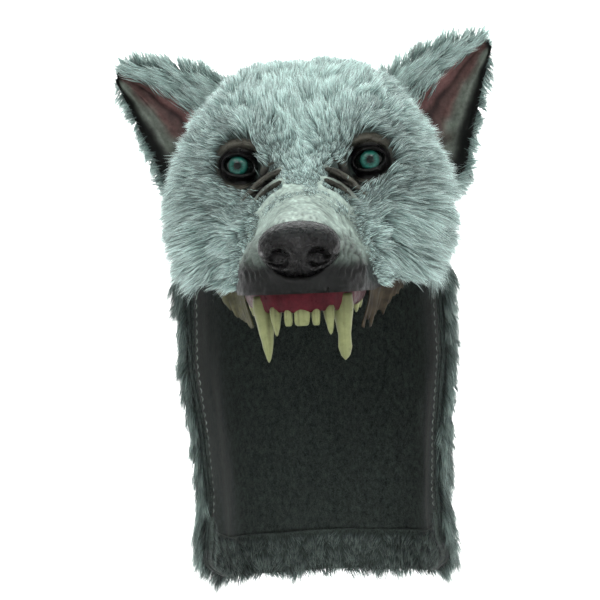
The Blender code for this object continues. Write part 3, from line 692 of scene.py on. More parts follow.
@dataclass(frozen=True)
class Cloth:
    """Woven or felted backing cloth: matt, mottled fibres with a fine nap."""

    name: str
    dark: str
    light: str
    mottle_mm: float = 2.2
    fibre_mm: float = 0.6
    nap_mm: float = 0.25
    stretch: float = 1.0

    def build(self) -> Material:
        """Return the cloth's material.

        Returns:
            The material.
        """
        finish, tree, shader = new_finish(
            self.name, {"Roughness": 0.95, "Specular IOR Level": 0.15, "Sheen Weight": 0.15})
        place = add_node(tree, "TexCoord")
        grain = add_node(tree, "Mapping", values={"Scale": (1.0, 1.0, 1.0 / self.stretch)},
                         links={"Vector": place.outputs["Object"]})
        mottle = add_node(tree, "TexNoise",
                          values={"Scale": 1 / (self.mottle_mm * MM), "Detail": 6.0, "Roughness": 0.75},
                          links={"Vector": grain})
        fibre = add_node(tree, "TexNoise",
                         values={"Scale": 1 / (self.fibre_mm * MM), "Detail": 3.0, "Roughness": 0.6},
                         links={"Vector": grain})
        both = add_node(tree, "Math", {"operation": "ADD"},
                        links={0: mottle, 1: fibre})
        shade = add_node(tree, "MapRange", values={"From Min": 0.72, "From Max": 1.28},
                         links={"Value": both})
        ramp = add_node(tree, "ValToRGB", links={"Fac": shade})
        set_stops(ramp, ((0.0, self.dark), (1.0, self.light)))
        bump = add_node(tree, "Bump", values={"Strength": 0.9, "Distance": self.nap_mm * MM},
                        links={"Height": both})
        link_inputs(tree, shader, {"Base Color": ramp, "Normal": bump})
        return finish


@dataclass(frozen=True)
class GlassEye:
    """A moulded acrylic eye: a teal iris with radial fibres under a clear, polished dome."""

    name: str
    centre: tuple[float, float, float]
    gaze: tuple[float, float, float]
    pupil_mm: float = 2.6
    iris_mm: float = 8.6

    def build(self) -> Material:
        """Return the eye's material, drawn round its gaze axis.

        Returns:
            The material.
        """
        finish, tree, shader = new_finish(
            self.name,
            {"Roughness": 0.5, "Specular IOR Level": 0.0, "Coat Weight": 0.6, "Coat Roughness": 0.02})
        place = add_node(tree, "TexCoord")
        local = add_node(tree, "VectorMath", {"operation": "SUBTRACT"}, {1: self.centre},
                         {0: place.outputs["Object"]})
        across = add_node(tree, "VectorMath", {"operation": "CROSS_PRODUCT"}, {1: self.gaze},
                          {0: local})
        reach = add_node(tree, "VectorMath", {"operation": "LENGTH"},
                         links={0: across})
        share = add_node(tree, "Math", {"operation": "DIVIDE"}, {1: self.iris_mm * MM},
                         {0: reach.outputs["Value"]})
        ring = add_node(tree, "VectorMath", {"operation": "NORMALIZE"},
                        links={0: across})
        fibres = add_node(tree, "TexNoise", values={"Scale": 9.0, "Detail": 4.0, "Roughness": 0.7},
                          links={"Vector": ring})
        wobble = add_node(tree, "MapRange", values={"To Min": -0.14, "To Max": 0.14},
                          links={"Value": fibres})
        spot = add_node(tree, "Math", {"operation": "ADD"},
                        links={0: share, 1: wobble})
        ramp = add_node(tree, "ValToRGB", links={"Fac": spot})
        pupil = self.pupil_mm / self.iris_mm
        set_stops(ramp, ((0.0, "#010202"), (pupil, "#031210"), (pupil + 0.06, "#0a342e"), (0.60, "#1a564b"),
                         (0.78, "#0d3a33"), (0.90, "#03110f"), (1.0, "#0b0f0d")))
        streak = add_node(tree, "MapRange",
                          values={"From Min": 0.3, "From Max": 0.7, "To Min": 0.6, "To Max": 1.5},
                          links={"Value": fibres})
        mixed = add_node(tree, "VectorMath", {"operation": "SCALE"},
                         links={0: ramp, "Scale": streak})
        link_inputs(tree, shader, {"Base Color": mixed})
        return finish


class Pelt(NamedTuple):
    """How a patch of fur grows.

    Length and width are in metres. Lift is the strands' rise from the skin, droop their fall at
    the tips, clump the share of strands that lead a tuft, gather how far the rest draw to them,
    stray how loosely they point, and tousle how far the lie swirls.
    """

    length: float
    width: float
    lift: float
    droop: float
    clump: float
    gather: float
    stray: float
    tousle: float


def scatter(grid: Array, weight: Array, count: int, rng: np.random.Generator) -> tuple:
    """Pick points over a grid, evenly by area times weight.

    Args:
        grid: Points by row and column.
        weight: Wanted density at each point of the grid.
        count: Number of points.
        rng: Seeded random numbers.

    Returns:
        Positions, unit normals and the fractional row and column of each.
    """
    a, b, c, d = grid[:-1, :-1], grid[:-1, 1:], grid[1:, 1:], grid[1:, :-1]
    area = np.linalg.norm(np.cross(b - a, d - a), axis=2) + np.linalg.norm(np.cross(b - c, d - c), axis=2)
    density = (weight[:-1, :-1] + weight[:-1, 1:] + weight[1:, 1:] + weight[1:, :-1]) / 4
    share = (area * density).ravel()
    cells = rng.choice(share.size, count, p=share / share.sum())
    rows, columns = np.divmod(cells, grid.shape[1] - 1)
    u, v = rng.random((2, count, 1))
    normals = grid_normals(grid)

    def blend(values: Array) -> Array:
        """Read a grid of values at the picked spots.

        Args:
            values: Values by row and column.

        Returns:
            One value at each spot.
        """
        top = values[rows, columns] * (1 - u) + values[rows, columns + 1] * u
        low = values[rows + 1, columns] * (1 - u) + values[rows + 1, columns + 1] * u
        return top * (1 - v) + low * v

    return blend(grid), unit(blend(normals)), rows + v[:, 0], columns + u[:, 0]


def tangent(direction: Array, normals: Array) -> Array:
    """Lay directions flat on the surface."""
    flat = direction - normals * (direction * normals).sum(axis=1, keepdims=True)
    return unit(flat)


RIBBON_SHARES = np.array((0.0, 0.5, 1.0))
RIBBON_WIDTHS = np.array((1.0, 0.85))


def grow_fur(name: str, roots: Array, normals: Array, flow: Array, size: Array, tone: Array,
             pelt: Pelt, finish: Material, rng: np.random.Generator) -> Object:
    """Grow tapered strands that gather in clumps.

    Args:
        name: The piece's name.
        roots: Root points.
        normals: Surface normals at the roots.
        flow: Unit directions in which the pile lies.
        size: Length factor of each strand.
        tone: Tone of each strand from 0, dark, to 1, light.
        pelt: How the fur grows.
        finish: The strands' material.
        rng: Seeded random numbers.

    Returns:
        The fur as one mesh of ribbons.
    """
    count = len(roots)
    clumps = max(1, int(count * 0.5 * pelt.clump))
    heads = rng.choice(count, clumps, replace=False)
    tree = KDTree(clumps)
    for index, head in enumerate(heads):
        tree.insert(roots[head], index)
    tree.balance()
    owner = np.array([tree.find(root)[1] for root in roots])
    sway = rng.normal(0, pelt.stray, (clumps, 3))
    clump_length = rng.uniform(0.85, 1.15, clumps)
    clump_tone = rng.normal(0, 0.07, clumps)
    swirl = np.stack([rough_noise(roots, 0.014, 31.0 + 7 * axis) for axis in range(3)], axis=1)
    flow = tangent(flow + pelt.tousle * swirl, normals)
    own = rng.normal(0, pelt.stray, (count, 3))

    def curve(points: Array, norm: Array, lie: Array, long: Array, bend: Array) -> Array:
        """Bend each strand from its root to its tip.

        Args:
            points: Root points.
            norm: Normals at the roots.
            lie: Directions in which the strands lie.
            long: Lengths.
            bend: Each strand's own turn.

        Returns:
            Points by strand and share.
        """
        start = unit(norm * pelt.lift + lie * (1 - pelt.lift) + bend * 0.6)
        end = unit(norm * 0.12 + lie + bend + DOWN * pelt.droop)
        t = RIBBON_SHARES[None, :, None]
        path = start[:, None] * t * (1 - t / 2) + end[:, None] * t * t / 2
        return points[:, None] + long[:, None, None] * path

    long = pelt.length * size * clump_length[owner] * rng.uniform(0.6, 1.1, count)
    strands = curve(roots, normals, flow, long, sway[owner] + own)
    picked = heads[owner]
    guides = curve(roots[picked], normals[picked], flow[picked], long, sway[owner])
    pull = (pelt.gather * RIBBON_SHARES ** 1.3)[None, :, None]
    strands = strands * (1 - pull) + guides * pull
    along = unit(strands[:, -1] - strands[:, 0])
    side = unit(np.cross(along, normals))
    twist = rng.normal(0, 0.55, (count, 1))
    side = unit(side * np.cos(twist) + np.cross(along, side) * np.sin(twist))
    half = pelt.width / 2 * rng.uniform(0.75, 1.25, count)
    spread = half[:, None, None] * RIBBON_WIDTHS[None, :, None] * side[:, None]
    pairs = np.stack([strands[:, :2] - spread, strands[:, :2] + spread], axis=2)
    points = np.concatenate([pairs.reshape(count, 4, 3), strands[:, 2:]], axis=1)
    pattern = np.array((0, 1, 3, 2, 2, 3, 4))
    loops = (np.arange(count)[:, None] * 5 + pattern).ravel()
    loop_starts = (np.arange(count)[:, None] * 7 + np.array((0, 4))).ravel()
    mesh = bpy.data.meshes.new(name)
    mesh.vertices.add(count * 5)
    mesh.vertices.foreach_set("co", points.astype(np.float32).ravel())
    mesh.loops.add(len(loops))
    mesh.loops.foreach_set("vertex_index", loops.astype(np.int32))
    mesh.polygons.add(count * 2)
    mesh.polygons.foreach_set("loop_start", loop_starts.astype(np.int32))
    mesh.update(calc_edges=True)
    shade = np.clip(tone + clump_tone[owner] + rng.normal(0, 0.26, count), 0.02, 0.98)
    level = np.repeat(RIBBON_SHARES, (2, 2, 1))[pattern] * 0.96 + 0.02
    uv = np.empty((count, 7, 2), np.float32)
    uv[:, :, 0] = shade[:, None]
    uv[:, :, 1] = level[None]
    for layer_name in ("strand", "OFBake"):
        layer = mesh.uv_layers.new(name=layer_name)
        layer.data.foreach_set("uv", uv.ravel())
    mesh.uv_layers["strand"].active_render = True
    mesh.shade_smooth()
    mesh.materials.append(finish)
    item = bpy.data.objects.new(name, mesh)
    bpy.context.scene.collection.objects.link(item)
    return item


class View(Enum):
    """The plane in which a crease is drawn: X and Z from the front, Y and Z from the side."""

    FRONT = 0
    SIDE = 1


class Fold(NamedTuple):
    """A crease of the latex along a line, in metres."""

    view: View
    points: tuple
    width: float
    depth: float


EYE_CENTRES = {Side.LEFT: (-0.049, -0.0885, -0.076), Side.RIGHT: (0.049, -0.0885, -0.076)}
EYE_RADIUS = 0.0135

# Creases from the bridge down under the eyes, then along the muzzle's sides.
FOLDS = (
    Fold(View.FRONT, ((0.0150, -0.0760), (0.0300, -0.0825), (0.0480, -0.0985)), 0.0019, 0.0034),
    Fold(View.FRONT, ((0.0145, -0.0850), (0.0270, -0.0905), (0.0420, -0.1035)), 0.0019, 0.0034),
    Fold(View.FRONT, ((0.0170, -0.0935), (0.0260, -0.0985), (0.0350, -0.1085)), 0.0018, 0.0024),
    Fold(View.SIDE, ((-0.145, -0.128), (-0.162, -0.133), (-0.182, -0.134)), 0.0016, 0.0010),
    Fold(View.SIDE, ((-0.148, -0.139), (-0.166, -0.144), (-0.188, -0.146)), 0.0016, 0.0010),
    Fold(View.SIDE, ((-0.165, -0.118), (-0.180, -0.122), (-0.196, -0.127)), 0.0016, 0.0009),
)


def fold_relief(grid: Array) -> Array:
    """Return the creases' relief, with raised flanks.

    Args:
        grid: Points of the face.

    Returns:
        Height at each point, negative inward.
    """
    relief = np.zeros(grid.shape[:2])
    mask = grid[..., 1] < -0.06
    x, y, z = np.abs(grid[..., 0]), grid[..., 1], grid[..., 2]
    wander = rough_noise(grid[mask], 0.009) * 0.0007
    for fold in FOLDS:
        flat = np.stack([x if fold.view is View.FRONT else y, z], axis=-1)[mask]
        line = smooth_curve(fold.points, spacing=0.003)
        starts, steps = line[:-1], np.diff(line, axis=0)
        share = ((flat[:, None] - starts) * steps).sum(axis=2) / (steps ** 2).sum(axis=1)
        near = starts + np.clip(share, 0, 1)[..., None] * steps
        reach = np.linalg.norm(flat[:, None] - near, axis=2).min(axis=1) + wander
        crease = -fold.depth * bell(reach, fold.width)
        flank = 0.55 * fold.depth * bell(np.abs(reach) - 2 * fold.width, fold.width)
        value = crease + flank
        if fold.view is View.SIDE:
            value *= ease(x[mask], 0.022, 0.034) * ease(y[mask], -0.08, -0.10)
        relief[mask] += value
    return relief


def fold_zone(points: Array) -> Array:
    """Return where the bare creased skin lies between the bridge and each eye.

    Args:
        points: Points of the face.

    Returns:
        A share from 0 to 1 at each point.
    """
    centre = EYE_CENTRES[Side.RIGHT]
    across = np.abs(points[..., 0]) - centre[0] + 0.0190
    up = points[..., 2] - centre[2] + 0.0135
    along, beside = across * 0.72 - up * 0.69, across * 0.69 + up * 0.72
    zone = np.exp(-(along / 0.0175) ** 4 - (beside / 0.0086) ** 4)
    return zone * (points[..., 1] < -0.05)


def whisker_relief(grid: Array) -> Array:
    """Return the small bumps in five rows of six on both whisker pads.

    Args:
        grid: Points of the face.

    Returns:
        Height at each point.
    """
    relief = np.zeros(grid.shape[:2])
    for row in range(5):
        for column in range(6):
            y, z = -0.140 - 0.0105 * column, -0.118 - 0.0085 * row - 0.0006 * column
            relief += 0.0009 * bell(np.hypot(grid[..., 1] - y, grid[..., 2] - z), 0.0015)
    return relief * ease(np.abs(grid[..., 0]), 0.018, 0.026)


@dataclass
class LatexFace:
    """The painted latex head: bridge, muzzle, lip and the hollow inside."""

    form: HeadForm
    spacing: float = 0.0055
    fine: float = 0.0015
    steps: tuple[int, ...] = (20, 21, 20, 13)
    eye_hollow: float = 0.0075
    nose_seat: float = 0.004
    name: str = "latex_face"

    def relief(self, grid: Array, normals: Array) -> Array:
        """Return how far the skin is raised along its normals.

        Args:
            grid: Points of the head.
            normals: Its unit normals.

        Returns:
            Height at each point.
        """
        x, y, z = np.moveaxis(grid, -1, 0)
        front = ease(y, -0.055, -0.085)
        relief = fold_relief(grid) + whisker_relief(grid)
        top = ease(normals[..., 2], 0.2, 0.7)
        relief += (0.00030 + 0.0003 * top) * rough_noise(grid * np.array((0.8, 1.3, 1.0)), 0.0040, 3.0)
        relief += 0.0008 * rough_noise(grid, 0.016, 7.0)
        rim = ease(y, -0.186, -0.199) * ease(z, -0.150, -0.132)
        relief += rim * 0.0011 * rough_noise(grid * np.array((1.8, 0.9, 1.0)), 0.0036, 11.0)
        lip = ease(z, -0.157, -0.166) * ease(y, -0.09, -0.11)
        relief += lip * (0.0012 + 0.0006 * rough_noise(grid, 0.003, 5.0))
        # Ridges in arcs round the nose, on the muzzle's sides.
        beside = ease(np.abs(x), 0.018, 0.028) * ease(z, -0.120, -0.132)
        arcs = np.hypot(x * 0.9, z + 0.140) / 0.0036 + 0.8 * rough_noise(grid, 0.008, 15.0)
        relief += (0.00080 * np.sin(arcs * 2 * math.pi) * beside
                   * ease(y, -0.140, -0.165) * (1 - lip))
        relief *= front
        seat = ease(np.hypot(x / 1.3, z + 0.145), 0.018, 0.012)
        relief -= (self.nose_seat + relief) * seat * ease(y, -0.196, -0.204)
        for centre in EYE_CENTRES.values():
            seat = ease(np.hypot(x - centre[0], z - centre[2]), 0.0185, 0.0115) * front
            relief = relief * (1 - seat) - self.eye_hollow * seat
        return relief

    def colours(self, grid: Array, normals: Array, relief: Array) -> Array:
        """Paint the skin: pale bridge, dark sides, black lip, dark eye surrounds.

        Args:
            grid: Points of the head.
            normals: Its unit normals.
            relief: Height of the skin at each point, which sets painted shade in the creases and painted
                highlights on the ridges.

        Returns:
            A linear colour at each point.
        """
        x, y, z = grid[..., :1], grid[..., 1:2], grid[..., 2:]
        blot = rough_noise(grid, 0.012, 2.0)[..., None]
        top = ease(normals[..., 2:] + 0.25 * blot, 0.05, 0.75)
        colour = brush(paint("#56625a"), top, "#a0b2a9")
        forward = ease(y, -0.150, -0.190) * ease(z, -0.118, -0.140)
        colour = brush(colour, 0.75 * forward, "#3c443f")
        # Paler band on the crinkled rim above the nose: painted highlight.
        rim = ease(y, -0.186, -0.199) * ease(z, -0.146, -0.134)
        colour = brush(colour, 0.4 * rim, "#b4c2b9")
        colour = colour * (1 + 0.45 * rough_noise(grid, 0.0026, 13.0)[..., None])
        colour = brush(colour, ease(z + 0.0015 * blot, -0.147, -0.156), "#0b0d0c")
        for centre in EYE_CENTRES.values():
            dark = ease(np.hypot(x - centre[0], z - centre[2]), 0.035, 0.020)
            colour = brush(colour, dark, "#33322d")
        colour = brush(colour, fold_zone(grid)[..., None], "#4a4a43")
        # Painted shade in the creases and painted highlights on the ridges, from the relief.
        colour = paint_relief_shade_and_highlight(colour, relief, 0.0012, 0.85, 0.25)
        return np.maximum(brush(colour, ease(y, -0.104, -0.096), "#3a4440"), DARKEST)

    def build(self) -> Object:
        """Build the head as one closed wall.

        Returns:
            The head.
        """
        grid = self.form.grid(self.spacing, self.steps, self.fine)
        normals = grid_normals(grid)
        relief = self.relief(grid, normals)
        bottoms = self.form.bottoms(grid)
        depth = (self.form.wall - np.minimum(relief, 0))[..., None]
        outer = self.form.with_skirt(grid + normals * relief[..., None], bottoms)
        inner = self.form.with_skirt(grid - normals * depth, bottoms)
        padded = np.pad(self.colours(grid, normals, relief), ((1, 1), (1, 1), (0, 0)), mode="edge")
        brown = 0.5 + 0.5 * rough_noise(inner, 0.02, 9.0)[..., None]
        inside = brush(paint("#262821"), brown, "#4a4836")
        finish = PaintedLatex("painted_cast_latex").build()
        item = closed_wall(self.name, outer, inner, finish, (padded, inside))
        return register(item, "dark_latex", "face_shell")


@dataclass
class LatexSkirt:
    """The ragged edge of cast latex that hangs inside the cheek, beside the jaw."""

    form: HeadForm
    side: Side
    inset: float = 0.0045
    fall: float = 0.028
    front_y: float = -0.122
    back_y: float = -0.056
    rows: int = 22

    def build(self) -> Object:
        """Hang a thin torn strip from the latex rim: smooth on the left, frayed on the right.

        Returns:
            The strip.
        """
        rim = self.form.grid(0.0012, (6, 6, 6, 4))[:, 0 if self.side is Side.LEFT else -1]
        rim = rim[(rim[:, 1] > self.front_y) & (rim[:, 1] < self.back_y)]
        place = np.linspace(1, 0, len(rim))
        fray = 0.12 if self.side is Side.LEFT else 0.30
        tatter = rough_noise(rim, 0.0075, 3.0) + 0.8 * rough_noise(rim, 0.0025, 5.0)
        fall = self.fall * ease(place, 1.0, 0.35) * (1 + fray * tatter)
        grid = []
        for share in np.linspace(0, 1, self.rows):
            line = rim.copy()
            wave = 0.0022 * rough_noise(rim + share * 0.01, 0.009, 7.0) * share
            line[:, 0] -= self.side.value * (self.inset + 0.006 * share ** 2 + wave)
            line[:, 2] += 0.006 - share * (fall + 0.006)
            grid.append(line)
        grid = np.array(grid)
        blot = rough_noise(grid, 0.006, 2.0)[..., None]
        base = paint("#45442f") if self.side is Side.LEFT else paint("#352e22")
        colour = np.maximum(base * (1 + 0.6 * blot), 0.004)
        finish = PaintedLatex("torn_latex_edge_" + self.side.label, roughness=0.55, stipple=0.5).build()
        item = mesh_piece("latex_skirt_" + self.side.label, grid, grid_faces(*grid.shape[:2]), finish, colour)
        wall = item.modifiers.new("wall", "SOLIDIFY")
        wall.thickness = 0.0009
        select_only(item)
        bpy.ops.object.modifier_apply(modifier=wall.name)
        merge_and_turn_out(item)
        return register(item, "dark_latex")


@dataclass
class Eye:
    """An eye: the moulded acrylic ball and the wrinkled latex round it."""

    side: Side
    skin: BVHTree
    around: int = 104
    rings: int = 42
    reach: float = 0.0265
    lobe: float = 0.0090
    over_hood: float = 0.0032
    lid_reach: float = 0.0112
    upper_lid: float = 0.0074
    lower_lid: float = 0.0062
    lid_tilt: float = 0.10
    gaze_out: float = 0.05

    @property
    def centre(self) -> Array:
        """The ball's centre."""
        return np.array(EYE_CENTRES[self.side])

    def build_ball(self) -> Object:
        """Model the ball from a sphere, with its front bulged into a clear dome.

        Returns:
            The ball.
        """
        bpy.ops.object.select_all(action="DESELECT")
        bpy.ops.mesh.primitive_uv_sphere_add(segments=64, ring_count=48, radius=EYE_RADIUS,
                                             location=tuple(self.centre), rotation=(math.pi / 2, 0, 0))
        ball = bpy.context.object
        ball.name = "eyeball_" + self.side.label
        bpy.ops.object.transform_apply(location=True, rotation=True, scale=True)
        gaze = Vector((self.side.value * self.gaze_out, -1.0, 0.02)).normalized()
        for corner in ball.data.vertices:
            out = (corner.co - Vector(self.centre)).normalized()
            dome = max(0.0, (out.dot(gaze) - 0.80) / 0.20)
            corner.co += out * 0.0009 * math.sin(dome * math.pi / 2)
        bpy.ops.object.shade_smooth()
        ball.data.materials.append(GlassEye("moulded_acrylic_eye_" + self.side.label, tuple(self.centre),
                                            tuple(gaze)).build())
        return register(ball, "teal_eye", "eye_" + self.side.label)

    def opening(self, angle: Array) -> tuple[Array, Array]:
        """Return the lids' edge, an almond with a flatter lower lid.

        Args:
            angle: Angles round the eye's centre.

        Returns:
            How far across and how far up from the centre each point lies.
        """
        across, rise = np.cos(angle) * self.lid_reach, np.sin(angle)
        up = np.where(rise > 0, self.upper_lid, self.lower_lid) * np.sign(rise) * np.abs(rise) ** 0.85
        return across, up + across * self.lid_tilt

    def build_surround(self) -> Object:
        """Build the lids and the wrinkled skin as rings that grow from the opening to the fur.

        Returns:
            The piece of latex.
        """
        angle = np.linspace(0, 2 * math.pi, self.around, endpoint=False)
        edge_x, edge_z = self.opening(angle)
        lobe_side = bell(angle - math.pi * 1.13, 0.50)
        reach_at = self.reach + self.lobe * lobe_side
        outer_x, outer_z = np.cos(angle) * reach_at, np.sin(angle) * reach_at * 1.05 - 0.001
        rings, colours = [], []
        for ring in range(self.rings):
            share = ring / (self.rings - 1)
            x = edge_x * (1 - share) + outer_x * share
            z = edge_z * (1 - share) + outer_z * share
            flat = np.hypot(x, z)
            ball_y = -np.sqrt(np.maximum((EYE_RADIUS + 0.0004) ** 2 - flat ** 2, 0.0))
            lid = 0.0030 * bell(share - 0.085, 0.07) * (1.15 + 0.35 * np.sin(angle))
            on_ball = self.centre[1] + ball_y - lid
            world_x = self.centre[0] + x * self.side.value
            world_z = self.centre[2] + z
            skin_y = np.array([self.skin_depth(px, pz) for px, pz in zip(world_x, world_z)])
            blend = ease(share, 0.12, 0.52)
            raised = ease(np.hypot(x / 0.0245, z / 0.0265), 0.80, 1.05) * lobe_side * self.over_hood
            depth = on_ball * (1 - blend) + (skin_y - 0.0004 - raised) * blend
            spots = np.stack([world_x, np.zeros_like(world_x), world_z], axis=1)
            warp = rough_noise(spots, 0.012, 4.0 + self.side.value)
            calm = ease(share, 0.16, 0.34) * ease(share, 1.0, 0.80)
            lobe = 0.0034 * bell(x, 0.0115) * bell(z - 0.0152, 0.0050)
            bag = 0.0020 * bell(x, 0.0120) * bell(z + 0.0135, 0.0042)
            crease = -0.0026 * bell(z - 0.0225 + 10 * x * x, 0.0018)
            crease = crease - 0.0016 * bell(z + 0.0190 - 8 * x * x, 0.0016)
            wrinkle = np.sin((np.hypot(x, z * 1.1) / 0.0021 + 1.6 * warp) * 2 * math.pi)
            fold = calm * (lobe + bag + crease) + 0.00042 * wrinkle * calm * (0.6 + warp)
            front = np.stack([world_x, np.full_like(angle, -0.09), world_z], axis=1)[None]
            fold = fold + fold_relief(front)[0] * ease(share, 0.25, 0.50)
            fine = 0.00022 * rough_noise(spots, 0.0014, 6.0) * calm
            sink = 0.0014 * ease(share, 0.90, 1.0)
            depth = depth - fold - fine + sink
            rings.append(np.stack([world_x, depth, world_z], axis=1))
            inner = ease(x, -0.006, -0.015)[:, None]
            # Raised folds painted lighter, a painted highlight; creases painted darker, a painted shade.
            tone = np.clip(fold / 0.0018, -1, 1)[:, None]
            base = paint("#363731") * (1 + (0.35 * warp + 0.4 * rough_noise(spots, 0.0020, 3.0))[:, None])
            colour = brush(base, np.maximum(tone, 0), "#46453d")
            colour = colour * (1 + 0.85 * np.minimum(tone, 0)) * (1 - 0.45 * inner)
            colours.append(np.maximum(brush(colour, ease(share, 0.46, 0.26), "#090a09"), 0.002))
        back = rings[0].copy()
        back[:, 1] = self.centre[1] - 0.002
        back[:, [0, 2]] = self.centre[[0, 2]] + (back[:, [0, 2]] - self.centre[[0, 2]]) * 1.03
        rings.insert(0, back)
        colours.insert(0, colours[0])
        grid = np.array(rings)
        faces = grid_faces(grid.shape[0], self.around, closed=True)
        finish = PaintedLatex("painted_latex_lid_" + self.side.label, roughness=0.34, pore_mm=0.9,
                              pore_depth_mm=0.08, stipple=0.4).build()
        item = mesh_piece("eyelids_" + self.side.label, grid, faces, finish, np.array(colours))
        solid = item.modifiers.new("wall", "SOLIDIFY")
        solid.thickness = 0.0006
        solid.offset = -1.0
        merge_and_turn_out(item)
        if item.data.polygons[len(faces) // 2].normal.y > 0:
            item.data.flip_normals()
        select_only(item)
        bpy.ops.object.modifier_apply(modifier=solid.name)
        return register(item, "dark_latex")

    def skin_depth(self, x: float, z: float) -> float:
        """Return the Y of the latex seen from the front at an X and a Z."""
        hit = self.skin.ray_cast(Vector((x, -0.30, z)), Vector((0, 1, 0)))
        return hit[0].y if hit[0] is not None else -0.09


@dataclass
class NosePad:
    """The black nose pad: rounded, with deep comma nostrils, a centre groove and pebbled skin."""

    half_width: float = 0.0285
    half_height: float = 0.0208
    half_depth: float = 0.0185
    centre: tuple[float, float, float] = (0.0, -0.204, -0.142)
    columns: int = 140
    rows: int = 80

    def build(self) -> Object:
        """Build the pad round its front pole, pressed back where it meets the muzzle.

        Returns:
            The nose pad.
        """
        angle = np.linspace(0, 2 * math.pi, self.columns, endpoint=False)[None]
        ring = (np.linspace(0.006, 0.80, self.rows) ** 0.9)[:, None]
        across, up = np.cos(angle), np.sin(angle)
        wide = 1.0 + 0.13 * up - 0.16 * np.maximum(0.0, -up) ** 2
        spread = np.sin(ring * math.pi) ** 0.92
        x = self.half_width * across * spread * wide
        z = self.half_height * up * spread * (1 + 0.06 * across ** 2)
        y = -self.half_depth * np.cos(ring * math.pi) * np.ones_like(across)
        y = y + 0.0035 * np.maximum(0.0, up) ** 2 * spread
        front = ease(ring, 0.62, 0.45)
        dent = np.zeros_like(x)
        for side in (-1, 1):
            px, pz = side * x - 0.0125, z + 0.0050
            hole = np.hypot(px / 0.0062, (pz - 0.20 * px) / 0.0048)
            tail = np.hypot((px - 0.0075) / 0.0065, (pz + 0.0020 - 0.3 * (px - 0.0075)) / 0.0020)
            dent += bell(hole, 1.0) * 0.0110 + bell(tail, 1.0) * 0.0050
            y = y - 0.0020 * bell(np.hypot(px, pz * 1.2) - 0.0100, 0.0036) * front
        groove = bell(x, 0.0020) * ease(z, -0.002, -0.010) * 0.0022
        grid = np.stack([x, y, z], axis=-1)
        pebble = np.abs(rough_noise(grid, 0.0019, 1.0)) ** 0.7
        smooth_part = np.clip(dent / 0.004, 0, 1)
        normals = unit(grid / np.array((self.half_width, self.half_depth, self.half_height)) ** 2)
        grid = grid + normals * ((pebble - 0.4) * 0.00075 * (1 - smooth_part))[..., None]
        grid[..., 1] += 0.0095 * (1 - np.exp(-(dent + groove) / 0.0075)) * front
        hollow = np.clip((dent + groove) / 0.005, 0, 1)[..., None]
        # Painted light: the upper side and the raised pebbles are painted lighter, a painted highlight; the
        # hollows between pebbles, the nostrils and the groove are painted darker, to near black in the
        # nostrils, a painted shade.
        painted_top_light = ease(normals[..., 2], 0.2, 1.0)[..., None]
        colour = brush(paint("#060707"), painted_top_light, "#1c2221")
        colour = np.maximum(colour * (0.7 + 0.6 * pebble[..., None]) * (1 - 0.9 * hollow), 0.002)
        pole = grid[:1].mean(axis=1)
        points = np.concatenate([grid.reshape(-1, 3), pole, grid[-1:].mean(axis=1)]) + np.array(self.centre)
        faces = grid_faces(self.rows, self.columns, closed=True)
        last = self.rows * self.columns
        for column in range(self.columns):
            after = (column + 1) % self.columns
            faces.append((last, after, column))
            start = last - self.columns
            faces.append((last + 1, start + column, start + after))
        shade = np.concatenate([colour.reshape(-1, 3), colour[:1].mean(axis=1), colour[-1:].mean(axis=1)])
        finish = PaintedLatex("gloss_black_latex", roughness=0.26, pore_mm=1.2, pore_depth_mm=0.12,
                              stipple=0.25, gleam=0.22).build()
        item = mesh_piece("nose_pad", points, faces, finish, shade)
        merge_and_turn_out(item)
        return register(item, "black_nose", "nose")


class Tooth(NamedTuple):
    """A tooth: its station along the gum, its size and how it bends."""

    name: str
    side: int
    place: float
    length: float
    root: float
    width: float
    depth: float
    bend: float
    outline: tuple


CONE = ((0.00, 0.92), (0.10, 1.00), (0.22, 1.00), (0.50, 0.76), (0.75, 0.50), (0.92, 0.27), (1.00, 0.10))
WAVY = ((0.00, 0.92), (0.20, 1.00), (0.42, 0.80), (0.62, 0.58), (0.80, 0.66), (0.93, 0.42), (1.00, 0.12))
BLOCK = ((0.00, 0.86), (0.35, 1.00), (0.75, 0.94), (0.93, 0.82), (1.00, 0.58))
TEETH = (
    Tooth("canine_left", -1, 0.44, 0.035, 0.012, 0.0072, 0.0076, 0.10, CONE),
    Tooth("canine_right", 1, 0.44, 0.035, 0.012, 0.0078, 0.0076, 0.02, WAVY),
    Tooth("fang_left", -1, 0.25, 0.0155, 0.005, 0.0042, 0.0044, 0.05, CONE),
    Tooth("fang_right", 1, 0.25, 0.0155, 0.005, 0.0042, 0.0044, 0.12, CONE),
    Tooth("incisor_left", -1, 0.108, 0.0085, 0.005, 0.0031, 0.0034, 0.0, BLOCK),
    Tooth("incisor_middle", 1, 0.0, 0.0085, 0.005, 0.0058, 0.0036, 0.0, BLOCK),
    Tooth("incisor_right", 1, 0.108, 0.0085, 0.005, 0.0031, 0.0034, 0.0, BLOCK),
    Tooth("premolar_left_front", -1, 0.70, 0.0055, 0.008, 0.0034, 0.0036, 0.0, CONE),
    Tooth("premolar_left_back", -1, 0.83, 0.0055, 0.008, 0.0032, 0.0034, 0.0, CONE),
    Tooth("premolar_right_front", 1, 0.70, 0.0055, 0.008, 0.0034, 0.0036, 0.0, CONE),
    Tooth("premolar_right_back", 1, 0.83, 0.0055, 0.008, 0.0032, 0.0034, 0.0, CONE),
)


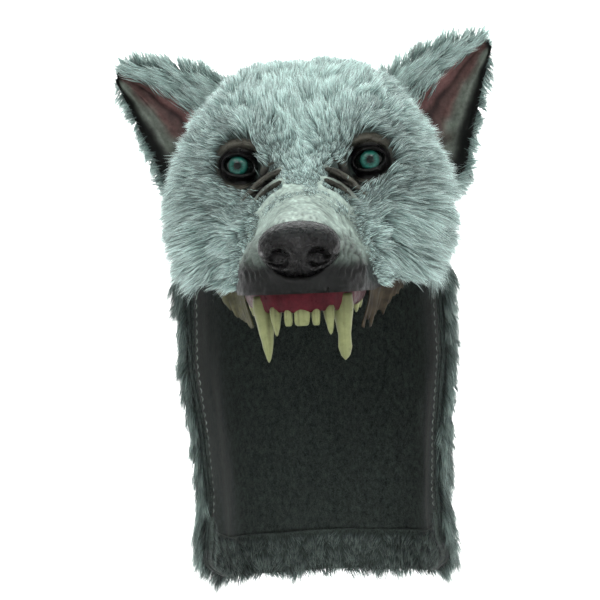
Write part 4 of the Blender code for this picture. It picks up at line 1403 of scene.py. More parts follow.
@dataclass
class Jaw:
    """The upper jaw: a gum in a horseshoe and its teeth."""

    form: HeadForm
    thickness: float = 0.0095
    side_gap: float = 0.0010
    front_gap: float = 0.0030
    length: float = 0.078
    height: float = 0.020
    tuck: float = 0.003
    roundness: float = 0.80
    taper: float = 0.60
    steps: int = 240

    def path(self, place: float) -> tuple[Array, Array]:
        """Return a point and the outward direction on the horseshoe, place -1 to 1.

        Args:
            place: The station, -1 to 1.

        Returns:
            The point, and a unit vector away from the mouth.
        """
        half_width = self.form.muzzle_half_width - self.form.wall - self.thickness / 2 - self.side_gap
        front_y = self.form.y_at(2) + self.form.wall + self.thickness / 2 + self.front_gap
        angle = place * math.pi / 2
        x = math.copysign(half_width * abs(math.sin(angle)) ** self.roundness, place)
        y = front_y + self.length * (1 - abs(math.cos(angle)) ** self.roundness)
        out = np.array((math.sin(angle) / half_width, -abs(math.cos(angle)) / self.length, 0.0))
        return np.array((x, y, 0.0)), out / np.linalg.norm(out)

    def build_gum(self) -> Object:
        """Build the gum, swollen round each tooth's root and notched between them.

        Returns:
            The gum.
        """
        section = [(math.cos(a), math.sin(a)) for a in np.linspace(0, math.pi, 15)]
        points, colours = [], []
        top = self.form.lip_z + self.tuck
        for place in np.linspace(-1, 1, self.steps):
            centre, out = self.path(place)
            swell = 0.0
            for tooth in TEETH:
                gap = (place - tooth.side * tooth.place) / (0.16 * tooth.width / 0.0072 + 0.02)
                swell = max(swell, math.exp(-gap * gap) * (0.55 + 0.45 * tooth.width / 0.0078))
            drop = self.height * (1 - self.taper * abs(place) ** 3)
            for across, down in section:
                reach = math.copysign(abs(across) ** 0.75, across) * self.thickness / 2
                reach *= 0.86 + 0.24 * swell
                spot = centre + out * reach
                lump = noise.noise(Vector((*spot[:2], down * drop)) / 0.004) * 0.0004
                spot = spot + out * (lump * abs(across))
                spot[2] = top - down ** 0.8 * drop * (0.86 + 0.15 * swell)
                points.append(spot)
                # Painted shade: the gum is darkened between the teeth and toward the back of the mouth; it is
                # also darker toward its lower edge, and its lumps are a little lighter where they bulge out,
                # a painted highlight.
                colours.append(paint("#571d26") * (0.35 + 0.65 * swell) * (0.9 + 90 * lump)
                               * (1.15 - 0.3 * down) * (1 - 0.6 * place * place))
        columns = len(section)
        faces = grid_faces(self.steps, columns)
        for step in range(self.steps - 1):
            a = step * columns
            faces.append((a, a + columns, a + 2 * columns - 1, a + columns - 1))
        faces.append(tuple(range(columns)))
        faces.append(tuple((self.steps - 1) * columns + index for index in reversed(range(columns))))
        finish = PaintedLatex("gloss_painted_gum", roughness=0.36, pore_mm=1.6, pore_depth_mm=0.10,
                              stipple=0.3, gleam=0.10).build()
        item = mesh_piece("gum", np.array(points), faces, finish, np.maximum(np.array(colours), 0.004))
        merge_and_turn_out(item)
        return register(item, "dark_gum", "upper_gum")

    def build_tooth(self, tooth: Tooth) -> Object:
        """Turn a cylinder into one tooth: rings by its outline, a rounded tip and grown grooves.

        Args:
            tooth: The tooth's sizes.

        Returns:
            The tooth.
        """
        spot, out = self.path(tooth.side * tooth.place)
        along = np.array((-out[1], out[0], 0.0))
        gum = 1 - self.taper * tooth.place ** 3
        base_z = self.form.lip_z + self.tuck - self.height * gum + tooth.root
        length = tooth.length + tooth.root
        sides, rings = 28, 26
        points, colours = [], []
        curve = np.array(tooth.outline)
        for share in np.linspace(0, 1, rings):
            share = 1 - (1 - share) ** 1.25
            size = float(np.interp(share, curve[:, 0], curve[:, 1]))
            if share > 0.93 and len(tooth.outline) != len(BLOCK):
                size *= math.sqrt(max(0.02, 1 - ((share - 0.93) / 0.075) ** 2))
            sway = tooth.side * tooth.bend * tooth.length * math.sin(share * math.pi / 2) ** 2
            for index in range(sides):
                angle = 2 * math.pi * index / sides
                groove = 1 - 0.045 * math.exp(-(math.sin(angle * 1.5 + tooth.place * 7) / 0.25) ** 2)
                wide = tooth.width * size * groove * math.cos(angle)
                deep = tooth.depth * size * groove * math.sin(angle)
                point = spot + along * wide + out * (deep + sway * abs(out[0]))
                point[2] = base_z - share * length
                lump = noise.noise(Vector(point) / 0.005)
                point = point + (along * math.cos(angle) + out * math.sin(angle)) * lump * 0.0003
                points.append(point)
                streak = noise.noise(Vector((math.cos(angle) * 3, math.sin(angle) * 3,
                                             share * 1.2 + tooth.place * 9)))
                stain = max(0.0, 1 - share * 2.0) * 0.65 + 0.45 * max(0.0, streak)
                colour = brush(paint("#848a60"), stain, "#3b3920")
                # Grooves painted darker toward the root: painted shade.
                colours.append(colour * (1 - 0.5 * (groove < 0.965) * (1 - share)))
        faces = [tuple(range(sides))] + grid_faces(rings, sides, flip=True, closed=True)
        faces.append(tuple((rings - 1) * sides + index for index in reversed(range(sides))))
        finish = PaintedLatex("cast_resin_" + tooth.name, roughness=0.36, pore_mm=1.5, pore_depth_mm=0.05,
                              stipple=0.14).build()
        item = mesh_piece("tooth_" + tooth.name, np.array(points), faces, finish, np.array(colours))
        merge_and_turn_out(item)
        return register(item, "ivory_teeth", tooth.name)


class EarRow(NamedTuple):
    """One row of an ear: its height, its two edges along the base and its cup depth, as shares."""

    height: float
    upper: float
    lower: float
    cup: float


EAR_ROWS = (
    EarRow(-0.34, -0.70, 0.80, 1.05),
    EarRow(0.00, -0.84, 1.02, 1.00),
    EarRow(0.20, -0.88, 0.92, 0.95),
    EarRow(0.42, -0.90, 0.52, 0.80),
    EarRow(0.65, -0.88, 0.06, 0.58),
    EarRow(0.85, -0.84, -0.34, 0.34),
    EarRow(0.96, -0.78, -0.54, 0.16),
    EarRow(1.00, -0.71, -0.63, 0.05),
)


@dataclass
class Ear:
    """One ear: a painted latex cup, and fur on its back and along its edges."""

    side: Side
    base_width: float = 0.108
    height: float = 0.086
    cup: float = 0.024
    wall: float = 0.0025
    side_x: float = 0.087
    drop: float = 0.049
    set_back: float = 0.004
    turn: float = 20.0
    crown: float = 0.003
    fringe: float = 0.40
    columns: int = 52
    rows_per_step: int = 8

    @property
    def lean(self) -> float:
        """How far the ear leans up, in degrees."""
        return 23.0 if self.side is Side.RIGHT else 13.0

    def grid(self, offset: float, flat: bool = False) -> Array:
        """Return the ear's surface, root to tip by upper edge to lower edge.

        Args:
            offset: How far the surface lies behind the cup's front.
            flat: True for coordinates along the base, up the ear and back, without placing.

        Returns:
            Points by row and column.
        """
        lean, turn = math.radians(self.lean), math.radians(self.turn)
        outward = np.array((math.cos(lean), 0.0, math.sin(lean)))
        base = np.array((math.sin(lean), 0.0, -math.cos(lean)))
        spin = np.array(Matrix.Rotation(turn, 3, "Z"))
        mirror = np.array((self.side.value, 1.0, 1.0))
        middle = np.array((self.side_x, self.set_back, self.crown - self.drop)) * mirror
        rows = smooth_curve([tuple(row) for row in EAR_ROWS], counts=[self.rows_per_step] * 7)
        across = np.linspace(0, 1, self.columns + 1)[None]
        height, upper, lower, cup = (rows[:, index, None] for index in range(4))
        half = self.base_width / 2
        along = upper * half + across * (lower - upper) * half
        bow = 1 - (2 * across - 1) ** 2
        depth = cup * self.cup * bow + offset
        rise = height * self.height + 0 * across
        if flat:
            return np.stack([along, rise, depth], axis=-1)
        points = middle + along[..., None] * ((spin @ base) * mirror)
        points = points + rise[..., None] * ((spin @ outward) * mirror)
        return points + depth[..., None] * ((spin @ np.array((0, 1.0, 0))) * mirror)

    def relief(self, flat: Array) -> Array:
        """Return the cup's inner relief: a rolled rim, long ribs and a fold near the root.

        Args:
            flat: The cup's points as grid gives them with flat.

        Returns:
            Height at each point.
        """
        across, up = share_grids(*flat.shape[:2])
        bend = rough_noise(flat, 0.02, 3.0 + self.side.value)
        relief = 0.0018 * bell(np.minimum(across, 1 - across), 0.035)
        for place, width, height in ((0.30, 0.035, 0.0022), (0.47, 0.04, -0.0020),
                                     (0.62, 0.035, 0.0024), (0.80, 0.04, 0.0016)):
            spread = across - place - 0.05 * bend + 0.10 * (up - 0.4)
            relief += height * bell(spread, width) * ease(up, 0.95, 0.55)
        return relief + 0.0007 * bend + 0.00045 * rough_noise(flat, 0.004, 5.0)

    def colours(self, flat: Array, relief: Array) -> Array:
        """Paint the cup: black rim and tip, dusty pink middle, grey lower outside.

        Args:
            flat: The cup's points as grid gives them with flat.
            relief: Height at each point.

        Returns:
            A linear colour at each point.
        """
        across, up = (share[..., None] for share in share_grids(*relief.shape))
        blot = rough_noise(flat, 0.012, 6.0)[..., None]
        lower = ease(across + 0.12 * blot, 0.55, 0.8)
        pink, grey = paint("#523d3a") * (1 + 0.25 * blot), paint("#596058") * (1 + 0.3 * blot)
        colour = pink * (1 - lower) + grey * lower
        colour = brush(colour, 0.7 * bell(across - 0.36, 0.10) * bell(up - 0.42, 0.18), "#7c5857")
        edge = np.minimum(across, 1 - across) + 0.05 * blot
        rim = np.clip(ease(edge, 0.22, 0.07) + ease(up, 0.80, 0.97), 0, 1)
        # Painted shade in the hollows and painted highlights on the ribs and rim, from the relief.
        return paint_relief_shade_and_highlight(brush(colour, rim, "#0f100f"), relief, 0.0020, 0.75, 0.35)

    def build_cup(self) -> Object:
        """Build the latex cup as one closed wall.

        Returns:
            The cup.
        """
        front, back = self.grid(0.0), self.grid(self.wall)
        flat = self.grid(0.0, flat=True)
        relief = self.relief(flat)
        shaped = front + unit(front - back) * (relief * 0.9)[..., None]
        colours = self.colours(flat, relief)
        dark = np.broadcast_to(paint("#20211f"), colours.shape)
        finish = PaintedLatex("painted_latex_ear_" + self.side.label, roughness=0.42, pore_mm=1.2,
                              pore_depth_mm=0.12, stipple=0.35).build()
        item = closed_wall("ear_cup_" + self.side.label, back, shaped, finish, (dark, colours))
        return register(item, "ear_latex", "ear_" + self.side.label)

    def directions(self, grid: Array, row: Array) -> tuple[Array, Array]:
        """Return the way to the ear's tip, and the way across it at each picked row.

        Args:
            grid: The ear's surface.
            row: Fractional rows.

        Returns:
            One unit direction, and one for each row.
        """
        middle = grid.shape[1] // 2
        at = np.clip(row.astype(int), 0, len(grid) - 1)
        return unit(grid[-1, middle] - grid[0, middle]), unit(grid[at, -1] - grid[at, 0])

    def build_fur(self, count: int) -> Object:
        """Grow the fur on the ear's back, pointing to the tip and out over both edges.

        Args:
            count: Number of strands.

        Returns:
            The piece of fur.
        """
        rng = np.random.default_rng(SEED + 10 + self.side.value)
        behind = self.grid(self.wall + 0.0016)
        rows, columns = behind.shape[:2]
        weight = np.ones((rows, columns))
        weight[:, :5] = 5.0
        weight[:, -5:] = 5.0
        weight[-8:] = 3.0
        roots, normals, row, column = scatter(behind, weight, count, rng)
        middle = rows // 2, columns // 2
        normals = face_with(normals, behind[middle] - self.grid(0.0)[middle])
        tip, width = self.directions(behind, row)
        across = column / (columns - 1)
        fan = (across - 0.5)[:, None] * 2
        flow = tangent(tip * 0.50 + width * fan * np.abs(fan) * 1.4, normals)
        edge = np.abs(fan[:, 0]) ** 6
        size = 0.84 + np.where(across < 0.5, 0.80, 0.45) * edge
        tone = 0.62 + 0.12 * (across < 0.4) - 0.10 * (across > 0.7) + 0.05 * rng.normal(size=count)
        pelt = Pelt(length=0.0160, width=0.0006, lift=0.38, droop=0.10, clump=0.03,
                    gather=0.26, stray=0.16, tousle=0.5)
        finish = FauxFur("faux_fur_ear_" + self.side.label, "#27322f", "#87a09a", "#dcf0eb").build()
        return register(grow_fur("ear_pile_" + self.side.label, roots, normals, flow, size, tone,
                                 pelt, finish, rng), "grey_fur")

    def build_fringe(self, count: int) -> Object:
        """Grow the fur that laps from both edges over the cup's front, thick along the upper edge.

        Args:
            count: Number of strands.

        Returns:
            The piece of fur.
        """
        rng = np.random.default_rng(SEED + 20 + self.side.value)
        front = self.grid(-0.0004)
        rows, columns = front.shape[:2]
        across, up = share_grids(rows, columns)
        weight = ease(across, self.fringe, 0.20) + 1.2 * ease(across, 0.95, 1.0)
        weight = weight * ease(up, 1.0, 0.9) + 2.4 * ease(up, 0.20, 0.05)
        roots, normals, row, column = scatter(front, weight, count, rng)
        middle = rows // 2, columns // 2
        normals = face_with(normals, self.grid(0.0)[middle] - self.grid(self.wall)[middle])
        tip, width = self.directions(front, row)
        place = (column / (columns - 1))[:, None]
        flow = tangent(tip * 0.8 + width * np.where(place < 0.5, -0.62, 0.75), normals)
        size = 1.12 - 0.22 * (row / (rows - 1))
        tone = 0.72 - 0.20 * (place[:, 0] > 0.5) + 0.12 * rough_noise(roots, 0.012, 4.0)
        pelt = Pelt(length=0.0205, width=0.0005, lift=0.34, droop=0.08, clump=0.03,
                    gather=0.26, stray=0.14, tousle=0.5)
        finish = FauxFur("faux_fur_ear_fringe_" + self.side.label, "#27322f", "#8ca5a0", "#e0f4ef").build()
        return register(grow_fur("ear_fringe_" + self.side.label, roots, normals, flow, size, tone,
                                 pelt, finish, rng), "grey_fur")

    def build_backing(self) -> Object:
        """Build the fur cloth behind the ear, which its pile stands on.

        Returns:
            The cloth.
        """
        inner, outer = self.grid(self.wall + 0.0004), self.grid(self.wall + 0.0022)
        finish = Cloth("knitted_fur_backing_ear_" + self.side.label, "#262d2b", "#56625f").build()
        item = closed_wall("ear_backing_" + self.side.label, outer, inner, finish)
        "ear_" + self.side.label
        return register(item, "grey_fur", "ear_fur_" + self.side.label)


@dataclass
class Hood:
    """The fur-fabric hood over the head: knitted backing and long grey pile."""

    form: HeadForm
    front_y: float = -0.1075
    gap: float = 0.0006
    backing: float = 0.0018
    eye_patch: tuple[float, float] = (0.0245, 0.0265)
    fur_patch: tuple[float, float] = (0.0195, 0.0250)

    def build_backing(self) -> Object:
        """Build the knitted backing as a thin wall over the latex.

        Returns:
            The cloth.
        """
        grid = self.form.grid(0.006, (6, 6, 6, 4))
        last = int(np.max(np.nonzero(grid[:, 0, 1] >= self.front_y)[0]))
        normals = grid_normals(grid)[:last + 1]
        grid = grid[:last + 1]
        inner = grid + normals * self.gap
        outer = inner + normals * self.backing
        finish = Cloth("knitted_fur_backing", "#222927", "#4c5855").build()
        item = closed_wall("hood_backing", outer, inner, finish)
        for side in Side:
            self.open_eye_patch(item, EYE_CENTRES[side])
        return register(item, "grey_fur", "head_fur")

    def open_eye_patch(self, item: Object, centre: tuple) -> None:
        """Cut the hood away round an eye.

        Args:
            item: The piece.
            centre: The eye's centre.
        """
        bpy.ops.object.select_all(action="DESELECT")
        bpy.ops.mesh.primitive_uv_sphere_add(segments=48, ring_count=24, radius=1.0,
                                             location=(centre[0], centre[1] - 0.008, centre[2]))
        cutter = bpy.context.object
        cutter.scale = (self.eye_patch[0], 0.04, self.eye_patch[1])
        bpy.ops.object.transform_apply(location=True, rotation=True, scale=True)
        step = item.modifiers.new("eye_patch", "BOOLEAN")
        step.operation = "DIFFERENCE"
        step.solver = "EXACT"
        step.object = cutter
        select_only(item)
        bpy.ops.object.modifier_apply(modifier=step.name)
        bpy.data.objects.remove(cutter)

    def density(self, grid: Array) -> Array:
        """Return where pile grows: more on the face, none on the muzzle, eye patches and folds.

        Args:
            grid: Points by row and column.

        Returns:
            The density at each point.
        """
        x, y, z = grid[..., 0], grid[..., 1], grid[..., 2]
        edge = 0.004 * rough_noise(grid, 0.008, 2.0)
        bridge = ease(np.abs(x), 0.034, 0.022)
        end = -0.122 - 0.020 * bridge
        weight = ease(y + edge, end - 0.012, end + 0.010)
        for centre in EYE_CENTRES.values():
            reach = np.hypot((x - centre[0]) / self.fur_patch[0], (z - centre[2] - 0.002) / self.fur_patch[1])
            patch = ease(reach + 25 * edge, 0.86, 1.06)
            weight = weight * np.where(y < -0.05, patch, 1.0)
        weight = weight * (1 - 0.98 * ease(fold_zone(grid) + 30 * edge, 0.3, 0.7))
        return weight * (1 + 1.9 * ease(y, -0.02, -0.07))

    def build_pile(self, count_by_part: dict[str, int]) -> list[Object]:
        """Grow the pile in parts: front left, front right, top with sides, and back.

        Args:
            count_by_part: Number of strands of each part.

        Returns:
            The pieces of fur.
        """
        grid = self.form.grid(0.0045, (9, 9, 9, 6))
        normals = grid_normals(grid)
        height = (self.gap + self.backing) * ease(grid[..., 1], -0.124, -0.111)
        grid = grid + normals * height[..., None]
        weight = self.density(grid)
        finish = FauxFur("acrylic_faux_fur_hood", "#1f2a28", "#87a19c", "#e2f8f3").build()
        limits = {
            "front_left": (grid[..., 1] < -0.02) & (grid[..., 0] < 0.0),
            "front_right": (grid[..., 1] < -0.02) & (grid[..., 0] >= 0.0),
            "top_sides": (grid[..., 1] >= -0.02) & (grid[..., 1] < 0.045),
            "back": grid[..., 1] >= 0.045,
        }
        pieces = []
        for index, (part, count) in enumerate(count_by_part.items()):
            rng = np.random.default_rng(SEED + index)
            roots, normals = scatter(grid, weight * limits[part], count, rng)[:2]
            pieces.append(self.grow(part, roots, normals, finish, rng))
        return pieces

    def grow(self, part: str, roots: Array, normals: Array, finish: Material,
             rng: np.random.Generator) -> Object:
        """Grow one part of the pile: away from the nose, down the cheeks and the back.

        Args:
            part: The part's name.
            roots: Root points.
            normals: Normals at the roots.
            finish: The strands' material.
            rng: Seeded random numbers.

        Returns:
            The piece of fur.
        """
        x, y, z = roots.T
        away = unit(roots - np.array((0.0, -0.205, -0.150)))
        side = ease(np.abs(x), 0.045, 0.085)
        low = ease(z, -0.050, -0.120)
        behind = ease(y, 0.0, 0.07)
        down = (0.10 + 0.60 * low * side + 0.9 * behind)[:, None] * DOWN
        outward = (side * 0.45)[:, None] * np.stack([np.sign(x), 0 * x, 0 * x], axis=1)
        flow = tangent(away + down + outward, normals)
        size = 0.50 + 0.22 * ease(z, -0.085, -0.03) + 0.45 * side * ease(z, -0.02, -0.09)
        size = size + 0.30 * behind + 0.25 * low * side
        bridge = ease(np.abs(x), 0.036, 0.022) * ease(z, -0.125, -0.105)
        long = 0.20 + 0.80 * ease(y, -0.134, -0.104)
        short = 0.13 + 0.42 * ease(y, -0.134, -0.106) + 0.45 * ease(y, -0.106, -0.080)
        size *= long * (1 - bridge) + short * bridge
        eye = np.minimum.reduce([np.hypot(x - c[0], z - c[2]) for c in EYE_CENTRES.values()])
        near_eye = np.where(y < -0.05, ease(eye, 0.046, 0.026), 0.0)
        size *= 1 - 0.45 * near_eye
        lump = rough_noise(roots, 0.010, 12.0)
        pale = ease(np.abs(x), 0.06, 0.015) * ease(z, -0.10, -0.03)
        tone = 0.52 + 0.20 * pale - 0.10 * low + 0.17 * lump - 0.10 * behind - 0.30 * near_eye
        pelt = Pelt(length=0.0270, width=0.0005, lift=0.26, droop=0.18, clump=0.024,
                    gather=0.28, stray=0.13, tousle=0.8)
        item = grow_fur("hood_pile_" + part, roots, normals, flow, size, tone, pelt, finish, rng)
        return register(item, "grey_fur")


class DrapeRow(NamedTuple):
    """A level of the drape: shares of its length, scales of the plan and share of its wave."""

    drop: float
    width: float
    back: float
    wave: float


DRAPE_ROWS = (
    DrapeRow(0.00, 1.00, 1.00, 0.0),
    DrapeRow(0.06, 1.01, 1.00, 0.0),
    DrapeRow(0.30, 1.02, 0.99, 0.4),
    DrapeRow(0.55, 0.95, 0.97, 0.8),
    DrapeRow(0.78, 0.92, 0.97, 1.0),
    DrapeRow(1.00, 0.95, 0.99, 1.0),
)


@dataclass
class Drape:
    """The neck drape: knitted backing outside, felt lining, hem facing, seams and long pile."""

    form: HeadForm
    length: float = 0.262
    hem_rise: float = 0.16
    hem_roundness: float = 4
    top_gap: float = 0.0015
    wall: float = 0.003
    wave: float = 0.004
    waves: float = 4.5
    cloth_gap: float = 0.0005
    lining_wall: float = 0.002
    hem_height: float = 0.034
    hem_wall: float = 0.004
    crumple: float = 0.0016
    crease_gap: float = 0.0003
    pile_gap: float = 0.003
    stitch_gap: float = 0.0012
    stitch_rows: int = 90
    rows: int = 44
    lining_rows: int = 64
    hem_rows: int = 14
    pile_start: float = -0.02
    pile_rows: int = 60

    @property
    def collar(self) -> float:
        """Level of the lining's upper edge, as a share of the length."""
        return (self.form.collar_depth + self.cloth_gap - self.top_gap) / self.length

    @property
    def crease(self) -> float:
        """Level of the crease above the hem, as a share of the length."""
        return 1 - self.hem_height / self.length

    def plan(self) -> Array:
        """Return the drape's plan, front left round the back to front right.

        Returns:
            Points in X and Y.
        """
        grid = self.form.grid(0.0175, (3, 3, 3, 2))
        ends = grid[:, 0, 1]
        back = [index for index in range(1, len(ends)) if ends[index] > self.form.plan_centre_y]
        straight = [index for index in range(1, len(ends))
                    if self.form.drape_front_y <= ends[index] <= self.form.plan_centre_y]
        stations = back + straight[(len(straight) + 1) % 2::2]
        left = [grid[index, 0, :2] for index in reversed(stations)]
        right = [grid[index, -1, :2] for index in stations]
        across = grid[0, :, :2]
        middle = across[np.linspace(0, len(across) - 1, 5).round().astype(int)]
        return smooth_curve(np.array(left + list(middle) + right), spacing=0.0055)

    def layer(self, low: float, high: float, offset: float, rows: int, crumple: float = 0.0) -> Array:
        """Return a layer of the drape between two levels, moved outward by offset.

        Args:
            low: The upper level as a share of the length.
            high: The lower level.
            offset: Distance outside the plan.
            rows: Number of rows.
            crumple: Height of small soft dents.

        Returns:
            Points by row and column.
        """
        plan = self.plan()
        along = np.gradient(plan, axis=0)
        out = unit(np.column_stack([-along[:, 1], along[:, 0]]))
        table = np.array([tuple(row) for row in DRAPE_ROWS])
        places = np.linspace(0, 1, len(plan))
        top = self.form.collar_z - self.top_gap
        grid = []
        for level in np.linspace(low, high, rows):
            width, back, wave = (np.interp(level, table[:, 0], table[:, column]) for column in (1, 2, 3))
            sway = wave * self.wave * np.sin(2 * math.pi * self.waves * places)
            line = plan + out * (offset + sway)[:, None]
            line[:, 0] *= width
            line[:, 1] = np.where(line[:, 1] > 0, line[:, 1] * back, line[:, 1])
            rise = self.hem_rise * level * np.abs(2 * places - 1) ** self.hem_roundness
            grid.append(np.column_stack([line, top - level * self.length * (1 - rise)]))
        grid = np.array(grid)
        if crumple:
            dents = rough_noise(grid * np.array((1.0, 1.0, 0.45)), 0.024, 5.0)
            shift = crumple * dents * ease(np.arange(rows)[:, None] / rows, 0.0, 0.15)
            grid[..., :2] += out[None] * shift[..., None]
        return grid

    def build_cloth(self) -> list[Object]:
        """Build the backing, the felt lining and the hem's facing.

        Returns:
            The three pieces.
        """
        knit = Cloth("knitted_fur_backing_drape", "#1d2321", "#434d4a").build()
        backing = closed_wall("drape_backing", self.layer(0, 1, self.cloth_gap + self.wall, self.rows),
                              self.layer(0, 1, self.cloth_gap, self.rows), knit)
        register(backing, "drape_fur", "neck_drape", "drape_fur")
        felt = Cloth("charcoal_wool_felt", "#070908", "#464f4b", mottle_mm=3.2, stretch=1.5).build()
        lining = closed_wall(
            "felt_lining", self.layer(self.collar, self.crease, 0, self.lining_rows),
            self.layer(self.collar, self.crease, -self.lining_wall, self.lining_rows, self.crumple), felt)
        register(lining, "charcoal_felt", "drape_lining")
        plush = Cloth("short_pile_facing", "#1a201e", "#5a6560", mottle_mm=3.0).build()
        start = self.crease + self.crease_gap
        facing = closed_wall("hem_band", self.layer(start, 1.0, 0, self.hem_rows),
                             self.layer(start, 1.0, -self.hem_wall, self.hem_rows), plush)
        register(facing, "hem_fur", "hem_facing")
        girth = float(np.linalg.norm(np.diff(self.plan(), axis=0), axis=1).sum())
        return [backing, lining, facing]

    def build_facing_pile(self, count: int) -> Object:
        """Grow the facing's short pile, brushed downward.

        Args:
            count: Number of strands.

        Returns:
            The piece of pile.
        """
        rng = np.random.default_rng(SEED + 50)
        start = self.crease + self.pile_gap
        layer = self.layer(start, 1.0, -self.hem_wall, self.hem_rows)
        into = unit(layer - self.layer(start, 1.0, 0.0, self.hem_rows))
        roots, normals, row, column = scatter(layer, np.ones(layer.shape[:2]), count, rng)
        normals = face_with(normals, into[row.astype(int), column.astype(int)])
        flow = tangent(np.broadcast_to(DOWN, roots.shape), normals)
        tone = 0.45 + 0.25 * rough_noise(roots, 0.012, 5.0)
        pelt = Pelt(length=0.0085, width=0.0005, lift=0.35, droop=0.1, clump=0.04,
                    gather=0.35, stray=0.2, tousle=0.5)
        finish = FauxFur("short_faux_fur_facing", "#161d1b", "#4b5753", "#8c9a95").build()
        item = grow_fur("hem_pile", roots, normals, flow, np.ones(count), tone, pelt, finish, rng)
        return register(item, "hem_fur")

    def build_seams(self) -> list[Object]:
        """Stitch a row of pale thread down the lining beside each front edge.

        Returns:
            The two threads.
        """
        pieces = []
        layer = self.layer(self.collar, self.crease, -self.lining_wall - self.stitch_gap, self.stitch_rows)
        thread = PaintedLatex("spun_polyester_thread", roughness=0.8, pore_mm=0.5, pore_depth_mm=0.02).build()
        for side in Side:
            column = 1 if side is Side.LEFT else -2
            line = layer[:, column]
            points, faces, colours = [], [], []
            for start in range(0, len(line) - 3, 3):
                low, high = line[start], line[start + 2]
                out = np.array((-side.value, -0.4, 0.0)) * 0.0006
                base = len(points)
                for share in np.linspace(0, 1, 5):
                    centre = low + (high - low) * share + out * math.sin(share * math.pi) * 1.5
                    for index in range(6):
                        angle = 2 * math.pi * index / 6
                        radius = 0.00045 * (0.5 + 0.5 * math.sin(share * math.pi))
                        points.append(centre + np.array((math.cos(angle), math.sin(angle), 0)) * radius)
                        colours.append(paint("#8d9690"))
                faces += [tuple(np.array(face) + base) for face in grid_faces(5, 6, closed=True)]
                faces.append(tuple(base + index for index in reversed(range(6))))
                faces.append(tuple(base + 24 + index for index in range(6)))
            item = mesh_piece("seam_thread_" + side.label, np.array(points), faces, thread, np.array(colours))
            merge_and_turn_out(item)
            pieces.append(register(item, "drape_fur"))
        return pieces

    def build_pile(self, count_by_part: dict[str, int]) -> list[Object]:
        """Grow the drape's pile, down and outward, and forward along both front edges.

        Args:
            count_by_part: Number of strands of each part.

        Returns:
            The pieces of fur.
        """
        layer = self.layer(self.pile_start, 1.0, self.cloth_gap + self.wall, self.pile_rows)
        rows, columns = layer.shape[:2]
        out = unit(layer - self.layer(self.pile_start, 1.0, 0.0, self.pile_rows))
        across, down = share_grids(rows, columns)
        edge = 1 + 7 * bell(np.minimum(across, 1 - across), 0.02)
        hem = 1 + 1.5 * ease(down, 0.9, 1.0)
        finish = FauxFur("acrylic_faux_fur_drape", "#1b2422", "#60726d", "#adc2bb").build()
        limits = {
            "left": across < 0.22,
            "right": across > 0.78,
            "back_left": (across >= 0.22) & (across < 0.5),
            "back_right": (across >= 0.5) & (across <= 0.78),
        }
        pieces = []
        for index, (part, count) in enumerate(count_by_part.items()):
            rng = np.random.default_rng(SEED + 30 + index)
            roots, normals, row, column = scatter(layer, limits[part] * edge * hem, count, rng)
            picked = out[np.clip(row.astype(int), 0, rows - 1), np.clip(column.astype(int), 0, columns - 1)]
            normals = face_with(normals, picked)
            spot = column / (columns - 1)
            front = bell(np.minimum(spot, 1 - spot), 0.03)[:, None]
            flow = tangent(DOWN + front * np.array((0.0, -0.55, 0.0)), normals)
            level = row / (rows - 1)
            size = 0.95 - 0.25 * ease(level, 0.90, 1.0) + 0.1 * rough_noise(roots, 0.03, 3.0)
            size = size * (1 - 0.12 * front[:, 0]) * (1 + 0.40 * ease(level, 0.25, 0.0))
            tone = 0.40 + 0.16 * rough_noise(roots, 0.02, 8.0) + 0.10 * ease(level, 0.3, 0.0)
            pelt = Pelt(length=0.0270, width=0.0006, lift=0.44, droop=0.35, clump=0.030,
                        gather=0.36, stray=0.16, tousle=0.6)
            item = grow_fur("drape_pile_" + part, roots, normals, flow, size, tone, pelt, finish, rng)
            pieces.append(register(item, "drape_fur"))
        return pieces


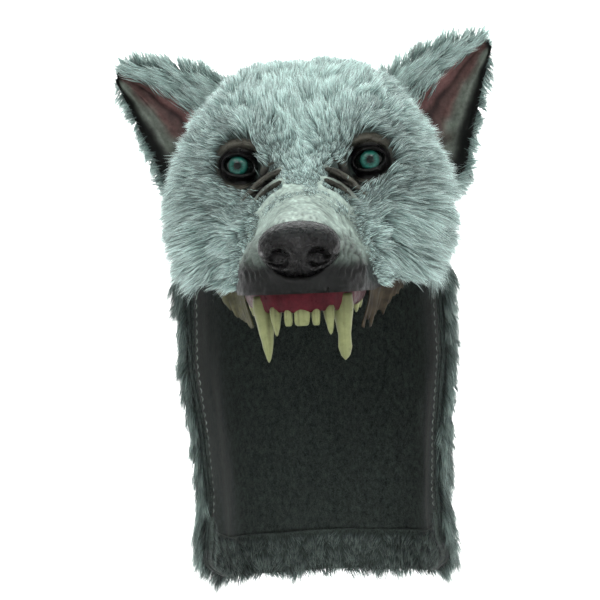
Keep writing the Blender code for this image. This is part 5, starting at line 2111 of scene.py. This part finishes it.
@dataclass(frozen=True)
class Studio:
    """A pale floor, a soft backdrop, soft lights and the photograph's camera."""

    floor_z: float = -0.46
    target: tuple[float, float, float] = (-0.013, 0.0, -0.180)
    distance: float = 1.5
    azimuth: float = 3.4
    elevation: float = 1.0
    roll: float = 2.4
    lens: float = 112.0

    def build_stage(self) -> None:
        """Sweep one pale sheet from the floor up behind the mask."""
        bpy.ops.object.select_all(action="DESELECT")
        bpy.ops.mesh.primitive_plane_add(size=6.0, location=(0, 0, self.floor_z))
        floor = bpy.context.object
        floor.name = "studio_floor"
        bpy.ops.object.mode_set(mode="EDIT")
        mesh = bmesh.from_edit_mesh(floor.data)
        for edge in mesh.edges:
            edge.select_set(all(corner.co.y > 2.9 for corner in edge.verts))
        bmesh.update_edit_mesh(floor.data)
        bpy.ops.mesh.extrude_region_move(TRANSFORM_OT_translate={"value": (0, 0.6, 4.5)})
        mesh = bmesh.from_edit_mesh(floor.data)
        for edge in mesh.edges:
            edge.select_set(all(corner.co.y > 2.9 and corner.co.z < 0.1 for corner in edge.verts))
        bmesh.update_edit_mesh(floor.data)
        bpy.ops.mesh.bevel(offset=2.2, segments=24)
        bpy.ops.object.mode_set(mode="OBJECT")
        bpy.ops.object.shade_smooth()
        bpy.ops.object.transform_apply(location=True, rotation=True, scale=True)
        paper = bpy.data.materials.new("white_studio_paper")
        paper.use_nodes = True
        paper.node_tree.nodes["Principled BSDF"].inputs["Base Color"].default_value = (0.95, 0.95, 0.95, 1)
        paper.node_tree.nodes["Principled BSDF"].inputs["Roughness"].default_value = 0.9
        floor.data.materials.append(paper)

    def build_light(self, name: str, place: tuple, size: float, power: float, aim: tuple) -> None:
        """Hang one soft light that points at aim.

        Args:
            name: The light's name.
            place: Where it hangs.
            size: Width of the light.
            power: Power in watts.
            aim: The point that it faces.
        """
        data = bpy.data.lights.new(name, "AREA")
        data.size = size
        data.energy = power
        item = bpy.data.objects.new(name, data)
        bpy.context.scene.collection.objects.link(item)
        item.location = place
        item.rotation_mode = "QUATERNION"
        item.rotation_quaternion = (Vector(aim) - Vector(place)).to_track_quat("-Z", "Y")

    def build(self) -> None:
        """Build stage, lights, sky and camera."""
        self.build_stage()
        self.build_light("key", (-0.7, -1.7, 1.4), 1.2, 12.0, (0, 0, -0.1))
        self.build_light("fill", (1.4, -1.5, 0.3), 1.4, 5.0, (0, 0, -0.15))
        self.build_light("glint", (0.45, -1.3, 0.80), 0.20, 3.2, (0, 0, -0.12))
        self.build_light("top", (0.1, 0.7, 1.7), 1.2, 6.0, (0, 0, -0.1))
        self.build_light("back_wash", (0.0, 1.5, 1.3), 2.2, 90.0, (0, 3.6, -0.2))
        self.build_light("floor_wash", (0.0, 1.5, 1.0), 1.6, 40.0, (0, 1.9, -0.46))
        scene = bpy.context.scene
        world = bpy.data.worlds.new("studio_sky")
        world.use_nodes = True
        world.node_tree.nodes["Background"].inputs["Color"].default_value = (1.0, 1.0, 1.0, 1)
        world.node_tree.nodes["Background"].inputs["Strength"].default_value = 0.22
        scene.world = world
        scene.view_settings.view_transform = "Standard"
        azimuth, elevation = math.radians(self.azimuth), math.radians(self.elevation)
        back = Vector((math.sin(azimuth) * math.cos(elevation), -math.cos(azimuth) * math.cos(elevation),
                       math.sin(elevation)))
        data = bpy.data.cameras.new("photo_camera")
        data.lens = self.lens
        camera = bpy.data.objects.new("photo_camera", data)
        scene.collection.objects.link(camera)
        camera.location = Vector(self.target) + back * self.distance
        camera.rotation_mode = "QUATERNION"
        camera.rotation_quaternion = (-back).to_track_quat("-Z", "Y")
        camera.rotation_mode = "XYZ"
        camera.rotation_euler.rotate_axis("Z", math.radians(-self.roll))
        scene.camera = camera


def skin_tree(form: HeadForm) -> BVHTree:
    """Return the head's surface for measuring depths from the front.

    Args:
        form: The head's form.

    Returns:
        The surface, ready for rays.
    """
    grid = form.grid(0.004, (10, 10, 10, 5))
    rows, columns = grid.shape[:2]
    return BVHTree.FromPolygons(grid.reshape(-1, 3).tolist(), grid_faces(rows, columns))


def main() -> None:
    """Build the mask's looks from the head outward."""
    logging.basicConfig(level=logging.INFO, format="%(message)s")
    Studio().build()
    form = HeadForm()
    LatexFace(form).build()
    skin = skin_tree(form)
    for side in Side:
        eye = Eye(side, skin)
        eye.build_ball()
        eye.build_surround()
        LatexSkirt(form, side).build()
    NosePad().build()
    jaw = Jaw(form)
    jaw.build_gum()
    for tooth in TEETH:
        jaw.build_tooth(tooth)
    for side in Side:
        ear = Ear(side)
        ear.build_cup()
        ear.build_backing()
        ear.build_fur(9000)
        ear.build_fringe(8000)
    hood = Hood(form)
    hood.build_backing()
    hood.build_pile({"front_left": 48000, "front_right": 48000, "top_sides": 18500, "back": 16000})
    drape = Drape(form)
    drape.build_cloth()
    drape.build_facing_pile(8000)
    drape.build_seams()
    drape.build_pile({"left": 14500, "right": 14500, "back_left": 9500, "back_right": 9500})


if __name__ == "__main__":
    main()
